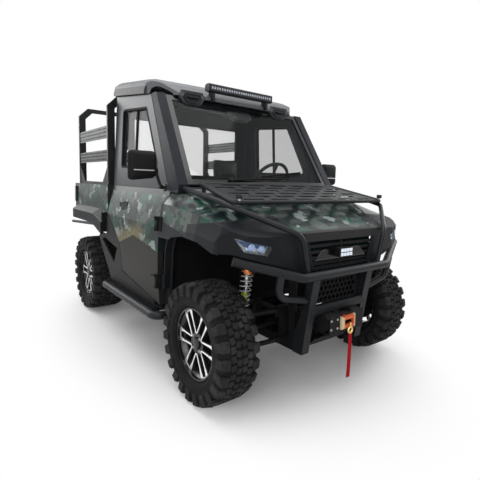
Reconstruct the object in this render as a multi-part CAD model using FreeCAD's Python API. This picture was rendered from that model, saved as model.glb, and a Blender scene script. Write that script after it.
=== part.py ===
import FreeCAD
import Part
import math
import os

# Side-by-side utility vehicle with an enclosed cab and a tipping bed.
# Millimetres. X runs forward, Y to the left, Z up from the floor under the tyres.

# Driving dimensions
wheelbase = 2080
front_overhang = 452
rear_overhang = 520
tyre_radius = 343
front_tyre_width = 230
rear_tyre_width = 280
front_track = 1372
rear_track = 1304
body_width = 1530
belt_width = 1400
roof_width = 1330
ground_clearance = 258
floor_height = 400
belt_height = 1180
cowl_height = 1205
nose_height = 976
door_top_front_height = 1820
door_top_rear_height = 1897

# Stock and gaps
panel = 10
door_thickness = 38
glass_thickness = 5
running_gap = 7
seat_gap = 0.3
overrun = 30

# Places measured back from the front axle
windscreen_foot_setback = 346
windscreen_top_setback = 733
pillar_foot_setback = 512
pillar_top_setback = 814
door_front_setback = 500
cab_rear_setback = 1505
bed_front_setback = 1540
bed_length = 1005

overall_length = front_overhang + wheelbase + rear_overhang
nose_x = overall_length / 2
tail_x = -nose_x
front_axle_x = nose_x - front_overhang
rear_axle_x = front_axle_x - wheelbase
half_body = body_width / 2
half_belt = belt_width / 2
half_roof = roof_width / 2
cab_rear_x = front_axle_x - cab_rear_setback
bed_front_x = front_axle_x - bed_front_setback
bed_rear_x = bed_front_x - bed_length


def vec(x, y, z):
    return FreeCAD.Vector(x, y, z)


def behind(distance):
    return front_axle_x - distance


def box(x0, x1, y0, y1, z0, z1):
    return Part.makeBox(x1 - x0, y1 - y0, z1 - z0, vec(x0, y0, z0))


def face(points):
    return Part.Face(Part.makePolygon(points + points[:1]))


def plate_xz(outline, y0, y1):
    return face([vec(x, y0, z) for x, z in outline]).extrude(vec(0, y1 - y0, 0))


def plate_xy(outline, z0, z1):
    return face([vec(x, y, z0) for x, y in outline]).extrude(vec(0, 0, z1 - z0))


def plate_yz(outline, x0, x1):
    return face([vec(x0, y, z) for y, z in outline]).extrude(vec(x1 - x0, 0, 0))


def rod(start, end, radius):
    run = end - start
    return Part.makeCylinder(radius, run.Length, start, run)


def fuse(shapes):
    if len(shapes) == 1:
        return shapes[0]
    return shapes[0].multiFuse(shapes[1:]).removeSplitter()


def cut(shape, tools):
    return shape.cut(tools[0].multiFuse(tools[1:]) if len(tools) > 1 else tools[0])


def mirror(shape):
    return shape.mirror(vec(0, 0, 0), vec(0, 1, 0))


def both_sides(shape):
    return [shape, mirror(shape)]


def spread(points, share_x, share_z):
    # Outline shares laid over a box: share_x and share_z hold its low and high values.
    x0, x1 = share_x
    z0, z1 = share_z
    return [(x0 + s * (x1 - x0), z0 + t * (z1 - z0)) for s, t in points]


def bent_tube(points, radius, bend):
    # Straight runs joined by tangent arcs of one bend radius.
    edges = []
    start = points[0]
    for before, corner, after in zip(points, points[1:], points[2:]):
        to_before = (before - corner).normalize()
        to_after = (after - corner).normalize()
        half_angle = to_before.getAngle(to_after) / 2
        reach = min(bend / math.tan(half_angle), (before - corner).Length * 0.45, (after - corner).Length * 0.45)
        arc_radius = reach * math.tan(half_angle)
        middle = (to_before + to_after).normalize()
        depth = arc_radius / math.sin(half_angle) - arc_radius
        arc_start = corner + to_before * reach
        arc_end = corner + to_after * reach
        edges.append(Part.LineSegment(start, arc_start).toShape())
        edges.append(Part.Arc(arc_start, corner + middle * depth, arc_end).toShape())
        start = arc_end
    edges.append(Part.LineSegment(start, points[-1]).toShape())
    profile = Part.Wire(Part.Circle(points[0], points[1] - points[0], radius).toShape())
    return Part.Wire(edges).makePipeShell([profile], True, False)


def revolve_about_y(outline, centre_y):
    # Outline of (radius, y) points turned about the Y axis through the origin.
    points = [vec(radius, centre_y + y, 0) for radius, y in outline]
    return face(points).revolve(vec(0, 0, 0), vec(0, 1, 0), 360)


def export(name, shapes):
    whole = shapes[0] if len(shapes) == 1 else Part.makeCompound(shapes)
    whole.exportStep("parts/" + name + ".step")


# Side surface of the cab, shared by doors, sills and pillars

side_low_share = (0.974, 0.34)
side_bulge_share = (1.0, 0.56)
side_shoulder_share = (0.986, 0.8)
side_top_height = door_top_rear_height + overrun


def side_slab(outer_inset, inner_inset, x0, x1):
    # Curved wall between two insets from the left side surface.
    def curve(inset):
        low = vec(x0, half_body * side_low_share[0] - inset, belt_height * side_low_share[1])
        bulge = vec(x0, half_body * side_bulge_share[0] - inset, belt_height * side_bulge_share[1])
        shoulder = vec(x0, half_body * side_shoulder_share[0] - inset, belt_height * side_shoulder_share[1])
        belt = vec(x0, half_belt - inset, belt_height)
        top = vec(x0, half_roof - inset, side_top_height)
        return low, bulge, shoulder, belt, top

    outer = curve(outer_inset)
    inner = curve(inner_inset)
    edges = [
        Part.Arc(outer[0], outer[1], outer[2]).toShape(),
        Part.LineSegment(outer[2], outer[3]).toShape(),
        Part.LineSegment(outer[3], outer[4]).toShape(),
        Part.LineSegment(outer[4], inner[4]).toShape(),
        Part.LineSegment(inner[4], inner[3]).toShape(),
        Part.LineSegment(inner[3], inner[2]).toShape(),
        Part.Arc(inner[2], inner[1], inner[0]).toShape(),
        Part.LineSegment(inner[0], outer[0]).toShape(),
    ]
    return Part.Face(Part.Wire(edges)).extrude(vec(x1 - x0, 0, 0))


def side_y(height):
    # Half width of the side surface above the belt.
    slope = (half_belt - half_roof) / (side_top_height - belt_height)
    return half_belt - slope * (height - belt_height)


# Doors

door_sill_front_height = 430
door_sill_rear_height = 541
door_waist_height = 950
door_corner_height = 1165
pillar_foot_height = 1241
door_rear_low_setback = 1160
door_rear_step_setback = 1198
door_rear_step_height = 753
door_rear_waist_height = 962
door_corner_setback = 448
window_sill_front_height = 1312
window_sill_rear_height = 1325
window_head_front_height = 1747
window_head_rear_height = 1780
window_front_low_setback = 640
window_front_top_setback = 880
window_rear_setback = 1345
window_corner_radius = 32
door_hinge_setback = 490
door_hinge_outset = 18
hinge_heights = (596, 966)
hinge_length = 92
hinge_barrel_radius = 9
hinge_leaf_thickness = 5
handle_setback = 1182
handle_height = 1024
handle_length = 96
handle_rise = 44
handle_depth = 14


def door_outline():
    return [
        (behind(door_front_setback), door_sill_front_height),
        (behind(door_front_setback), door_waist_height),
        (behind(door_corner_setback), door_corner_height),
        (behind(pillar_foot_setback), pillar_foot_height),
        (behind(pillar_top_setback), door_top_front_height),
        (cab_rear_x + running_gap, door_top_rear_height),
        (cab_rear_x, belt_height),
        (cab_rear_x, door_rear_waist_height),
        (behind(door_rear_step_setback), door_rear_step_height),
        (behind(door_rear_low_setback), door_sill_rear_height + hinge_length),
        (behind(door_rear_low_setback), door_sill_rear_height),
    ]


def outline_wire(outline):
    return Part.makePolygon([vec(x, 0, z) for x, z in outline + outline[:1]])


def outline_prism(outline, grow):
    # The outline grown or shrunk evenly, as a prism through the left half of the body.
    wire = outline_wire(outline)
    if grow:
        wire = wire.makeOffset2D(grow, 2)
    return Part.Face(wire).extrude(vec(0, body_width, 0))


def window_prism():
    outline = [
        (behind(window_front_low_setback), window_sill_front_height),
        (behind(window_front_top_setback), window_head_front_height),
        (behind(window_rear_setback), window_head_rear_height),
        (behind(window_rear_setback), window_sill_rear_height),
    ]
    prism = outline_prism(outline, 0)
    upright = [edge for edge in prism.Edges if abs(edge.tangentAt(edge.FirstParameter).y) > 0.9]
    return prism.makeFillet(window_corner_radius, upright)


def door_gap_prism():
    return outline_prism(door_outline(), running_gap)


def hinge_axis_y():
    return half_body + door_hinge_outset


def door_shell():
    slab = side_slab(0, door_thickness, cab_rear_x - overrun, front_axle_x)
    shell = slab.common(outline_prism(door_outline(), 0)).cut(window_prism())
    handle_x = behind(handle_setback)
    recess = box(handle_x - handle_length / 2, handle_x + handle_length / 2, 0, body_width,
                 handle_height - handle_rise / 2, handle_height + handle_rise / 2)
    recess = recess.common(side_slab(-overrun, handle_depth, cab_rear_x, front_axle_x))
    shell = shell.cut(recess)
    hinges = [door_hinge(height) for height in hinge_heights]
    return fuse([shell] + hinges)


def hinge_barrel(low, high):
    return Part.makeCylinder(hinge_barrel_radius, high - low, vec(behind(door_hinge_setback), hinge_axis_y(), low))


def door_hinge(height):
    axis_x = behind(door_hinge_setback)
    quarter = hinge_length / 4
    leaf = box(axis_x - hinge_length, axis_x, half_body - door_thickness, hinge_axis_y() + hinge_barrel_radius / 2,
               height - quarter, height + quarter)
    inside = side_slab(door_thickness / 2, body_width / 4, cab_rear_x, front_axle_x)
    leaf = cut(leaf, [inside, front_form(-seat_gap)])
    leaf = max(leaf.Solids, key=lambda solid: solid.Volume)
    return fuse([leaf, hinge_barrel(height - quarter, height + quarter)])


def body_hinges():
    # Fixed halves of the door hinges: two knuckles and a leaf that lies on the fender.
    axis_x = behind(door_hinge_setback)
    skin = front_form(-hinge_leaf_thickness).cut(front_form(-seat_gap))
    shapes = []
    for height in hinge_heights:
        half = hinge_length / 2
        quarter = hinge_length / 4
        leaf = box(axis_x + seat_gap, axis_x + hinge_length * 0.6, half_belt, body_width, height - half, height + half)
        leaf = leaf.common(skin).cut(door_gap_prism())
        knuckles = []
        for low, high in ((height - half, height - quarter - seat_gap), (height + quarter + seat_gap, height + half)):
            arm = box(axis_x, axis_x + hinge_barrel_radius * 2, half_body - door_thickness, hinge_axis_y(), low, high)
            knuckles += [hinge_barrel(low, high), cut(arm, [front_form(-seat_gap), door_gap_prism()])]
        shapes += both_sides(fuse([leaf] + knuckles))
    return shapes


def door_glass():
    middle = door_thickness / 2
    slab = side_slab(middle - glass_thickness / 2, middle + glass_thickness / 2, cab_rear_x, front_axle_x)
    return slab.common(window_prism())


# Mirrors

mirror_height = 1300
mirror_rise = 255
mirror_reach = 800
mirror_width = 150
mirror_depth = 62
mirror_setback = 500
mirror_arm_radius = 9
mirror_foot_height = 1218
mirror_arm_rise = 32
mirror_corner_share = 0.22


def door_mirror():
    x1 = behind(mirror_setback)
    x0 = x1 - mirror_depth
    y1 = mirror_reach + mirror_width
    z0 = mirror_height - mirror_rise / 2
    corner = mirror_width * mirror_corner_share
    head = plate_yz([
        (mirror_reach, z0 + corner), (mirror_reach + corner, z0), (y1 - corner, z0), (y1, z0 + corner),
        (y1, z0 + mirror_rise - corner), (y1 - corner, z0 + mirror_rise),
        (mirror_reach + corner, z0 + mirror_rise), (mirror_reach, z0 + mirror_rise - corner)], x0, x1)
    foot = vec(x1 - mirror_depth / 2, side_y(mirror_foot_height) + mirror_arm_radius / 4, mirror_foot_height)
    arm = rod(foot, vec(foot.x, mirror_reach + corner, mirror_foot_height + mirror_arm_rise), mirror_arm_radius)
    collar = rod(foot, foot + vec(0, mirror_arm_radius, 0), mirror_arm_radius * 2)
    return fuse([head, arm, collar])


# Cab tub

tub_width = 1388
firewall_setback = 447
toe_board_setback = 520
footwell_height = 1010
seat_riser_setback = 915
seat_base_height = 610
tub_rear_height = 1150


def cab_tub():
    outer = [
        (behind(firewall_setback), footwell_height),
        (behind(firewall_setback), floor_height + panel),
        (behind(firewall_setback), floor_height),
        (cab_rear_x, floor_height),
        (cab_rear_x, tub_rear_height),
        (cab_rear_x + panel, tub_rear_height),
        (cab_rear_x + panel, seat_base_height),
        (behind(seat_riser_setback), seat_base_height),
        (behind(seat_riser_setback), floor_height + panel),
        (behind(toe_board_setback), floor_height + panel),
        (behind(firewall_setback) - panel, floor_height + toe_board_setback - firewall_setback),
        (behind(firewall_setback) - panel, footwell_height),
    ]
    half = tub_width / 2
    tub = plate_xz(outer, -half, half)
    under_seat = box(cab_rear_x + panel, behind(seat_riser_setback) - panel, -half + panel, half - panel,
                     floor_height - overrun, seat_base_height - panel)
    door_room = side_slab(-overrun * 2, door_thickness + running_gap, cab_rear_x - overrun, front_axle_x)
    return cut(tub, [under_seat, door_room, mirror(door_room)])


# Seats

seat_width = 560
seat_offset = 330
seat_cushion_length = 430
seat_cushion_thickness = 120
seat_back_height = 620
seat_back_thickness = 86
seat_back_lean = 40
seat_edge_radius = 28
headrest_width = 270
headrest_height = 190
headrest_gap = 35
headrest_thickness = 80


def seat_cushions():
    x1 = behind(seat_riser_setback) + seat_edge_radius
    x0 = x1 - seat_cushion_length
    z0 = seat_base_height + seat_gap
    cushion = box(x0, x1, seat_offset - seat_width / 2, seat_offset + seat_width / 2, z0, z0 + seat_cushion_thickness)
    cushion = cushion.makeChamfer(seat_edge_radius, cushion.Edges)
    return both_sides(cushion)


def seat_backs():
    base = behind(seat_riser_setback) + seat_edge_radius - seat_cushion_length
    z0 = seat_base_height + seat_gap

    def pad(width, low, height, thickness):
        lean = seat_back_lean / seat_back_height
        foot = base - seat_gap - (low - z0) * lean
        outline = [(foot, low), (foot - thickness, low), (foot - thickness - height * lean, low + height),
                   (foot - height * lean, low + height)]
        shape = plate_xz(outline, seat_offset - width / 2, seat_offset + width / 2)
        return shape.makeChamfer(seat_edge_radius / 2, shape.Edges)

    back = pad(seat_width, z0, seat_back_height, seat_back_thickness)
    rest_low = z0 + seat_back_height + headrest_gap
    rest = pad(headrest_width, rest_low, headrest_height, headrest_thickness)
    post_x = rest.BoundBox.Center.x
    posts = [rod(vec(post_x, seat_offset + side * headrest_width / 4, rest_low - headrest_gap * 2),
                 vec(post_x, seat_offset + side * headrest_width / 4, rest_low + headrest_gap), panel / 2)
             for side in (-1, 1)]
    return both_sides(fuse([back, rest] + posts))


# Dashboard and steering

dash_rear_setback = 690
dash_low_height = 940
dash_top_height = 1195
steering_centre_setback = 800
steering_offset = 400
steering_height = 1250
steering_radius = 178
steering_rim_radius = 15
steering_rake = 32
steering_hub_radius = 48
column_radius = 22


def dashboard():
    x1 = behind(firewall_setback) - panel - seat_gap
    x0 = behind(dash_rear_setback)
    shares = [(1, 0.0), (0.55, 0.0), (0.1, 0.35), (0.0, 0.72), (0.12, 0.98), (0.5, 1.0), (1, 0.96)]
    half = frame_foot_offset() - frame_tube - seat_gap
    dash = plate_xz(spread(shares, (x0, x1), (dash_low_height, dash_top_height)), -half, half)
    return dash.cut(rod(column_foot(), column_top(), column_radius + seat_gap))


def steering_axis():
    rake = math.radians(steering_rake)
    return vec(-math.cos(rake), 0, math.sin(rake))


def steering_centre():
    return vec(behind(steering_centre_setback), steering_offset, steering_height)


def column_top():
    return steering_centre() - steering_axis() * (steering_hub_radius + seat_gap)


def column_foot():
    reach = (dash_rear_setback - firewall_setback) + panel
    return column_top() - steering_axis() * reach


def steering_column():
    return rod(column_foot(), column_top(), column_radius)


def ring(centre, axis, radius, half_wire):
    # Ring of hexagonal section about an axis.
    points = []
    for turn in range(6):
        angle = math.radians(turn * 60)
        points.append(vec(radius + half_wire * math.cos(angle), 0, half_wire * math.sin(angle)))
    shape = face(points).revolve(vec(0, 0, 0), vec(0, 0, 1), 360)
    shape.Placement = FreeCAD.Placement(centre, FreeCAD.Rotation(vec(0, 0, 1), axis))
    return shape


def steering_wheel():
    centre = steering_centre()
    axis = steering_axis()
    rim = ring(centre, axis, steering_radius, steering_rim_radius)
    hub = Part.makeCylinder(steering_hub_radius, steering_hub_radius + steering_rim_radius,
                            centre - axis * steering_hub_radius, axis)
    across = vec(0, 1, 0)
    down = axis.cross(across)
    spokes = []
    for turn in (0, 180, 270):
        angle = math.radians(turn)
        out = across * math.cos(angle) + down * math.sin(angle)
        spokes.append(rod(centre, centre + out * steering_radius, steering_rim_radius * 0.8))
    return fuse([rim, hub] + spokes)


# Cab frame

frame_tube = 22
pillar_inset = 8
rear_post_setback = 1470
header_rise = 13


def frame_foot_offset():
    return half_belt - door_thickness - running_gap * 2 - frame_tube


def front_pillar():
    # Wide moulded pillar between windscreen and door, standing on the fender.
    top_height = door_top_front_height + running_gap - seat_gap
    foot_height = cowl_height - pillar_inset * 5
    outline = [
        (behind(pillar_foot_setback) + running_gap, pillar_foot_height),
        (behind(pillar_foot_setback) + running_gap, foot_height),
        (behind(windscreen_foot_setback), foot_height),
        (behind(windscreen_foot_setback), cowl_height + panel),
        (behind(windscreen_top_setback), top_height),
        (behind(pillar_top_setback) + running_gap, top_height),
    ]
    slab = side_slab(0, frame_tube * 3, cab_rear_x, front_axle_x)
    pillar = slab.common(outline_prism(outline, 0))
    pillar = cut(pillar, [door_gap_prism(), front_form(-seat_gap)])
    return max(pillar.Solids, key=lambda solid: solid.Volume)


def cab_frame():
    top_y = frame_foot_offset() - half_belt + half_roof
    foot_y = frame_foot_offset()
    front_x = behind(pillar_top_setback)
    rear_x = behind(rear_post_setback)
    front_top = vec(front_x, top_y, door_top_front_height + header_rise)
    rear_top = vec(rear_x, top_y, door_top_rear_height - frame_tube)
    rear_foot = vec(rear_x, foot_y, seat_base_height + seat_gap)
    rail = bent_tube([front_top, rear_top, rear_foot], frame_tube, frame_tube * 4)
    front_low = vec(behind(firewall_setback) - panel - frame_tube - seat_gap, foot_y, floor_height + panel)
    front_knee = vec(behind(firewall_setback) - panel - frame_tube - seat_gap, foot_y, cowl_height)
    leg = bent_tube([front_top, front_knee, front_low], frame_tube, frame_tube * 3)
    side = fuse([rail, leg, front_pillar()])
    header = rod(mirror_point(front_top), front_top, frame_tube)
    rear_header = rod(mirror_point(rear_top), rear_top, frame_tube)
    shoulder = vec(rear_x, foot_y, tub_rear_height + frame_tube * 2)
    bar = rod(mirror_point(shoulder), shoulder, frame_tube)
    return fuse([side, mirror(side), header, rear_header, bar]).cut(cab_tub())


def mirror_point(point):
    return vec(point.x, -point.y, point.z)


# Roof and light bar

roof_front_setback = 716
roof_overhang = 24
roof_thickness = 26
roof_crown = 14
roof_side_rise = 112
roof_nose_length = 90
light_bar_width = 590
light_bar_height = 58
light_bar_depth = 60
light_bar_centre_height = 1912
light_bar_setback = 706


def roof_section(x, edge_height, rise, half_width, inset):
    shares = [(1.0, 0.0), (0.997, 0.24), (0.98, 0.62), (0.94, 0.84), (0.87, 0.93), (0.5, 0.97), (0.0, 1.0)]
    left = [vec(x, (half_width - inset) * s, edge_height + rise * t - inset) for s, t in shares]
    right = [mirror_point(point) for point in left[:-1]]
    return Part.makePolygon(left + right[::-1] + left[:1])


def roof_solid(inset):
    # The edge follows the top of the doors and the height fades towards the front.
    front = behind(roof_front_setback)
    door_front = behind(pillar_top_setback)
    width = half_roof + roof_overhang
    rear = cab_rear_x - panel
    slope = (door_top_rear_height - door_top_front_height) / (door_front - cab_rear_x)
    rows = [(front, 0.16, 0.985), (front - roof_nose_length, 0.72, 1.0), (front - roof_nose_length * 2, 0.97, 1.0),
            (rear + roof_nose_length, 1.0, 1.0), (rear, 0.93, 1.0)]
    sections = []
    for x, rise_share, width_share in rows:
        base = door_top_front_height + running_gap + max(0, door_front - x) * slope
        rise = (roof_side_rise + roof_crown) * rise_share
        sections.append(roof_section(x, base, rise, width * width_share, inset))
    return Part.makeLoft(sections, True, True)


def roof_panel():
    roof = roof_solid(0)
    corner = roof_nose_length * 2
    front = behind(roof_front_setback)
    width = half_roof + roof_overhang
    for side in (-1, 1):
        nose_corner = plate_xy([(front + overrun, side * (width + overrun)),
                                (front - corner, side * (width + overrun)),
                                (front - corner, side * width),
                                (front + panel, side * (width - corner)),
                                (front + overrun, side * (width - corner))],
                               door_top_front_height - overrun, roof_top_height())
        roof = roof.cut(nose_corner)
    hollow = roof_solid(roof_thickness)
    keep = box(cab_rear_x, front - roof_thickness, -width + roof_thickness, width - roof_thickness,
               door_top_front_height - overrun, roof_top_height())
    return roof.cut(hollow.common(keep))


def roof_top_height():
    return door_top_rear_height + roof_side_rise + roof_crown + overrun


def light_bar():
    x1 = behind(light_bar_setback) + light_bar_depth / 2
    x0 = x1 - light_bar_depth
    low = light_bar_centre_height - light_bar_height / 2
    shares = [(0.0, 0.2), (0.3, 0.0), (0.9, 0.0), (1.0, 0.12), (1.0, 0.88), (0.9, 1.0), (0.3, 1.0), (0.0, 0.8)]
    bar = plate_xz(spread(shares, (x0, x1), (low, low + light_bar_height)), -light_bar_width / 2, light_bar_width / 2)
    feet = []
    for side in (-1, 1):
        y = side * light_bar_width * 0.42
        foot = box(x0 - panel, x1 - panel, y - panel, y + panel, door_top_front_height + running_gap, low + panel)
        feet.append(foot.cut(roof_panel()))
    feet = [max(foot.Solids, key=lambda solid: solid.BoundBox.ZMax) for foot in feet]
    return fuse([bar] + feet)


# Windscreen and rear window

rear_panel_thickness = 24
rear_window_half_width = 520
rear_window_low = 1290
rear_window_high = 1740


def windscreen():
    half_low = half_belt - frame_tube * 3 - seat_gap
    half_high = half_roof - frame_tube * 3 - seat_gap
    low_x = behind(windscreen_foot_setback) - panel
    high_x = behind(windscreen_top_setback) - panel
    low_z = cowl_height + panel + seat_gap
    high_z = door_top_front_height - seat_gap
    corners = [vec(low_x, -half_low, low_z), vec(low_x, half_low, low_z),
               vec(high_x, half_high, high_z), vec(high_x, -half_high, high_z)]
    return face(corners).extrude(vec(-glass_thickness, 0, 0)).cut(cab_frame())


def rear_window():
    x = cab_rear_x - seat_gap - (rear_panel_thickness - glass_thickness) / 2
    half = rear_window_half_width
    return box(x - glass_thickness, x, -half, half, rear_window_low, rear_window_high)


def rear_panel():
    top_half = half_roof - roof_overhang
    low_half = half_belt - roof_overhang
    high = door_top_rear_height + running_gap - seat_gap
    x1 = cab_rear_x - seat_gap
    x0 = x1 - rear_panel_thickness
    outline = [(-low_half, tub_rear_height - panel * 4), (low_half, tub_rear_height - panel * 4),
               (top_half, high), (-top_half, high)]
    wall = plate_yz(outline, x0, x1)
    window = box(x0 - overrun, x1 + overrun, -rear_window_half_width, rear_window_half_width,
                 rear_window_low, rear_window_high)
    return wall.cut(window)


# Front body: one lofted form, split into hood, fenders and fascia

arch_front_reach = 262
arch_rear_reach = 425
arch_height = 925
fascia_reach = 190
hood_edge_gap = 0.8
body_skirt_height = 360
lamp_reach = 300
lamp_offset = 600
lamp_inner_width = 105
lamp_outer_width = 90
lamp_low_height = 868
lamp_high_height = 961
headlamp_depth = 120
bumper_clear_height = 762
front_station_reaches = (-500, -250, 0, 200, 400)
front_width_shares = (
    (0.56, 0.84, 0.915, 0.983, 1.0, 1.004, 0.974),
    (0.56, 0.80, 0.873, 0.991, 1.013, 1.02, 0.99),
    (0.55, 0.73, 0.797, 0.983, 1.017, 1.026, 1.0),
    (0.50, 0.61, 0.680, 0.948, 1.000, 1.006, 0.98),
    (0.435, 0.56, 0.630, 0.840, 0.915, 0.922, 0.90),
)
front_height_shares = (
    (1.0, 0.997, 0.990, 0.977, 0.910, 0.795, 0.730),
    (0.977, 0.975, 0.966, 0.953, 0.900, 0.797, 0.737),
    (0.925, 0.922, 0.917, 0.908, 0.875, 0.793, 0.745),
    (0.866, 0.861, 0.856, 0.850, 0.840, 0.772, 0.722),
    (0.800, 0.800, 0.795, 0.788, 0.772, 0.747, 0.706),
)


def front_section(index, inset):
    x = front_axle_x + front_station_reaches[index]
    widths = front_width_shares[index]
    heights = front_height_shares[index]
    bottom = body_skirt_height - (overrun if inset else 0)
    half = [(half_body * w - inset, cowl_height * h - inset) for w, h in zip(widths, heights[1:])]
    half.append((half_body * widths[-1] - inset, cowl_height * heights[-1] - inset))
    half.append((half_body * widths[-1] - inset, bottom))
    left = [vec(x, 0, cowl_height * heights[0] - inset)] + [vec(x, y, z) for y, z in half]
    right = [mirror_point(point) for point in left[1:]]
    return Part.makePolygon(left + right[::-1] + left[:1])


nose_plan_shares = ((0.0, 0.826), (0.4, 0.822), (0.575, 0.8), (0.72, 0.758), (0.85, 0.674), (0.925, 0.54), (1.05, 0.3))


def nose_plan(inset):
    left = [(front_axle_x + front_overhang * ahead - inset, half_body * wide) for wide, ahead in nose_plan_shares]
    right = [(x, -y) for x, y in left[1:]]
    rear = behind(door_front_setback + overrun)
    wide = half_body * nose_plan_shares[-1][0]
    return plate_xy([(rear, -wide)] + right[::-1] + left + [(rear, wide)], 0, belt_height + panel * 4)


def front_form(inset):
    sections = [front_section(index, inset) for index in range(len(front_station_reaches))]
    return Part.makeLoft(sections, True, True).common(nose_plan(inset))


def front_shell():
    return front_form(0).cut(front_form(panel))


def arch_prism():
    shares = [(0.0, 0.0), (0.0, 0.45), (0.04, 0.78), (0.19, 0.96), (0.40, 1.0), (0.66, 0.985),
              (0.86, 0.92), (1.0, 0.86), (1.07, 0.62), (1.07, 0.0)]
    x0 = front_axle_x - arch_rear_reach
    x1 = front_axle_x + arch_front_reach
    base = body_skirt_height - overrun * 2
    outline = spread(shares, (x0, x1), (base, arch_height))
    outline[-2] = (outline[-2][0], bumper_clear_height)
    outline[-1] = (nose_x + overrun, bumper_clear_height)
    outline.append((nose_x + overrun, base))
    return plate_xz(outline, -body_width, body_width)


hood_rear_share = 0.56
hood_front_share = 0.435


def hood_region(grow):
    rear = behind(door_front_setback + overrun)
    front = nose_x
    rear_half = half_body * hood_rear_share + grow
    front_half = half_body * hood_front_share + grow
    lip_height = nose_height - panel * 5 - grow
    region = plate_xy([(rear, -rear_half), (front, -front_half), (front, front_half), (rear, rear_half)],
                      lip_height, belt_height + panel * 4)
    return region


def lamp_region():
    # Opening that wraps the corner of the nose, cut along the diagonal.
    across = vec(1, -1, 0).normalize()
    outward = vec(1, 1, 0).normalize()
    centre = vec(front_axle_x + lamp_reach, lamp_offset, 0) - outward * headlamp_depth
    shares = [(0.0, 1.0), (0.28, 0.26), (0.89, 0.0), (1.0, 0.505)]
    outline = spread(shares, (-lamp_inner_width, lamp_outer_width), (lamp_low_height, lamp_high_height))
    points = [centre + across * u + vec(0, 0, z) for u, z in outline]
    return face(points).extrude(outward * headlamp_depth * 2)


def cowl_cut():
    # Everything behind the windscreen foot and above the footwell.
    return box(behind(door_front_setback + overrun * 2), behind(windscreen_foot_setback), -half_belt + frame_tube * 3,
               half_belt - frame_tube * 3, cowl_height - panel * 2, belt_height + panel * 4)


def hood():
    shell = front_shell().common(hood_region(0))
    return shell.cut(cowl_cut())


def fenders():
    shell = front_shell().cut(hood_region(hood_edge_gap)).cut(arch_prism())
    keep = box(behind(door_front_setback), front_axle_x + fascia_reach, 0, body_width, 0, belt_height + panel * 4)
    side = shell.common(keep).cut(door_gap_prism()).cut(cowl_cut())
    side = max(side.Solids, key=lambda solid: solid.Volume)
    return both_sides(side)


def fascia():
    shell = front_shell().cut(hood_region(hood_edge_gap)).cut(arch_prism())
    keep = box(front_axle_x + fascia_reach + hood_edge_gap, nose_x, -body_width, body_width, 0, nose_height + panel * 6)
    shell = shell.common(keep)
    grille_half = half_body * 0.385
    opening = plate_yz([(-grille_half, nose_height * 0.985), (grille_half, nose_height * 0.985),
                        (grille_half * 0.8, bumper_clear_height + panel * 2),
                        (-grille_half * 0.8, bumper_clear_height + panel * 2)], front_axle_x, nose_x)
    lamps = lamp_region()
    tube_room = bumper_radius + running_gap
    cheek = plate_yz([(bumper_bend_offset, 0), (bumper_bend_offset, bumper_height + tube_room),
                      (bumper_end_offset, bumper_end_height + tube_room), (body_width, bumper_end_height + tube_room),
                      (body_width, 0)], front_axle_x, nose_x)
    shell = cut(shell, [opening, lamps, mirror(lamps), cheek, mirror(cheek)])
    return max(shell.Solids, key=lambda solid: solid.Volume)


def headlamps():
    lamp = lamp_region().common(front_form(hood_edge_gap)).cut(front_form(panel * 5))
    return both_sides(max(lamp.Solids, key=lambda solid: solid.Volume))


# Mesh screens behind the openings

screen_setback = 26
screen_thickness = 6
hole_pitch = 36
hole_radius = 17
slat_count = 5
slat_bar = 9


def honeycomb(x, low, high, half, shape):
    # Hexagonal holes in offset rows through a plate at x.
    row_pitch = hole_pitch * math.sqrt(3) / 2
    rows = int((high - low - hole_radius * 2) / row_pitch) + 1
    columns = int((half * 2 - hole_radius * 2) / hole_pitch)
    holes = []
    for row in range(rows):
        z = (low + high) / 2 + (row - (rows - 1) / 2) * row_pitch
        for column in range(columns - row % 2):
            y = (column - (columns - 1 - row % 2) / 2) * hole_pitch
            corners = []
            for turn in range(6):
                angle = math.radians(turn * 60 + 30)
                corners.append((y + hole_radius * math.cos(angle), z + hole_radius * math.sin(angle)))
            holes.append(plate_yz(corners, x - overrun, x + overrun))
    return shape.cut(Part.makeCompound(holes))


def slats(x, low, high, half, shape):
    # Level slots in two columns through a plate at x.
    pitch = (high - low) / slat_count
    tools = []
    for row in range(slat_count):
        z = low + pitch * (row + 0.5)
        for side in (-1, 1):
            y0 = side * slat_bar
            y1 = side * (half - slat_bar)
            tools.append(box(x - overrun, x + overrun, min(y0, y1), max(y0, y1), z - pitch / 4, z + pitch / 4))
    return shape.cut(Part.makeCompound(tools))


def mesh_screens():
    half = half_body * 0.40
    x1 = front_axle_x + front_overhang * nose_plan_shares[1][1] - panel - seat_gap
    low = bumper_clear_height + seat_gap
    high = nose_height - overrun * 1.5
    upper = slats(x1, low, high, half, box(x1 - screen_thickness, x1, -half, half, low, high))
    x1 = x1 - screen_setback
    half = bumper_leg_top_offset - bumper_leg_thickness / 2 - seat_gap
    low = bumper_strip_height + bumper_strip_rise / 2 + seat_gap
    high = bumper_height - bumper_radius
    lower = honeycomb(x1, low, high, half, box(x1 - screen_thickness, x1, -half, half, low, high))
    return [upper, lower]


# Front bumper with brush tubes

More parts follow.
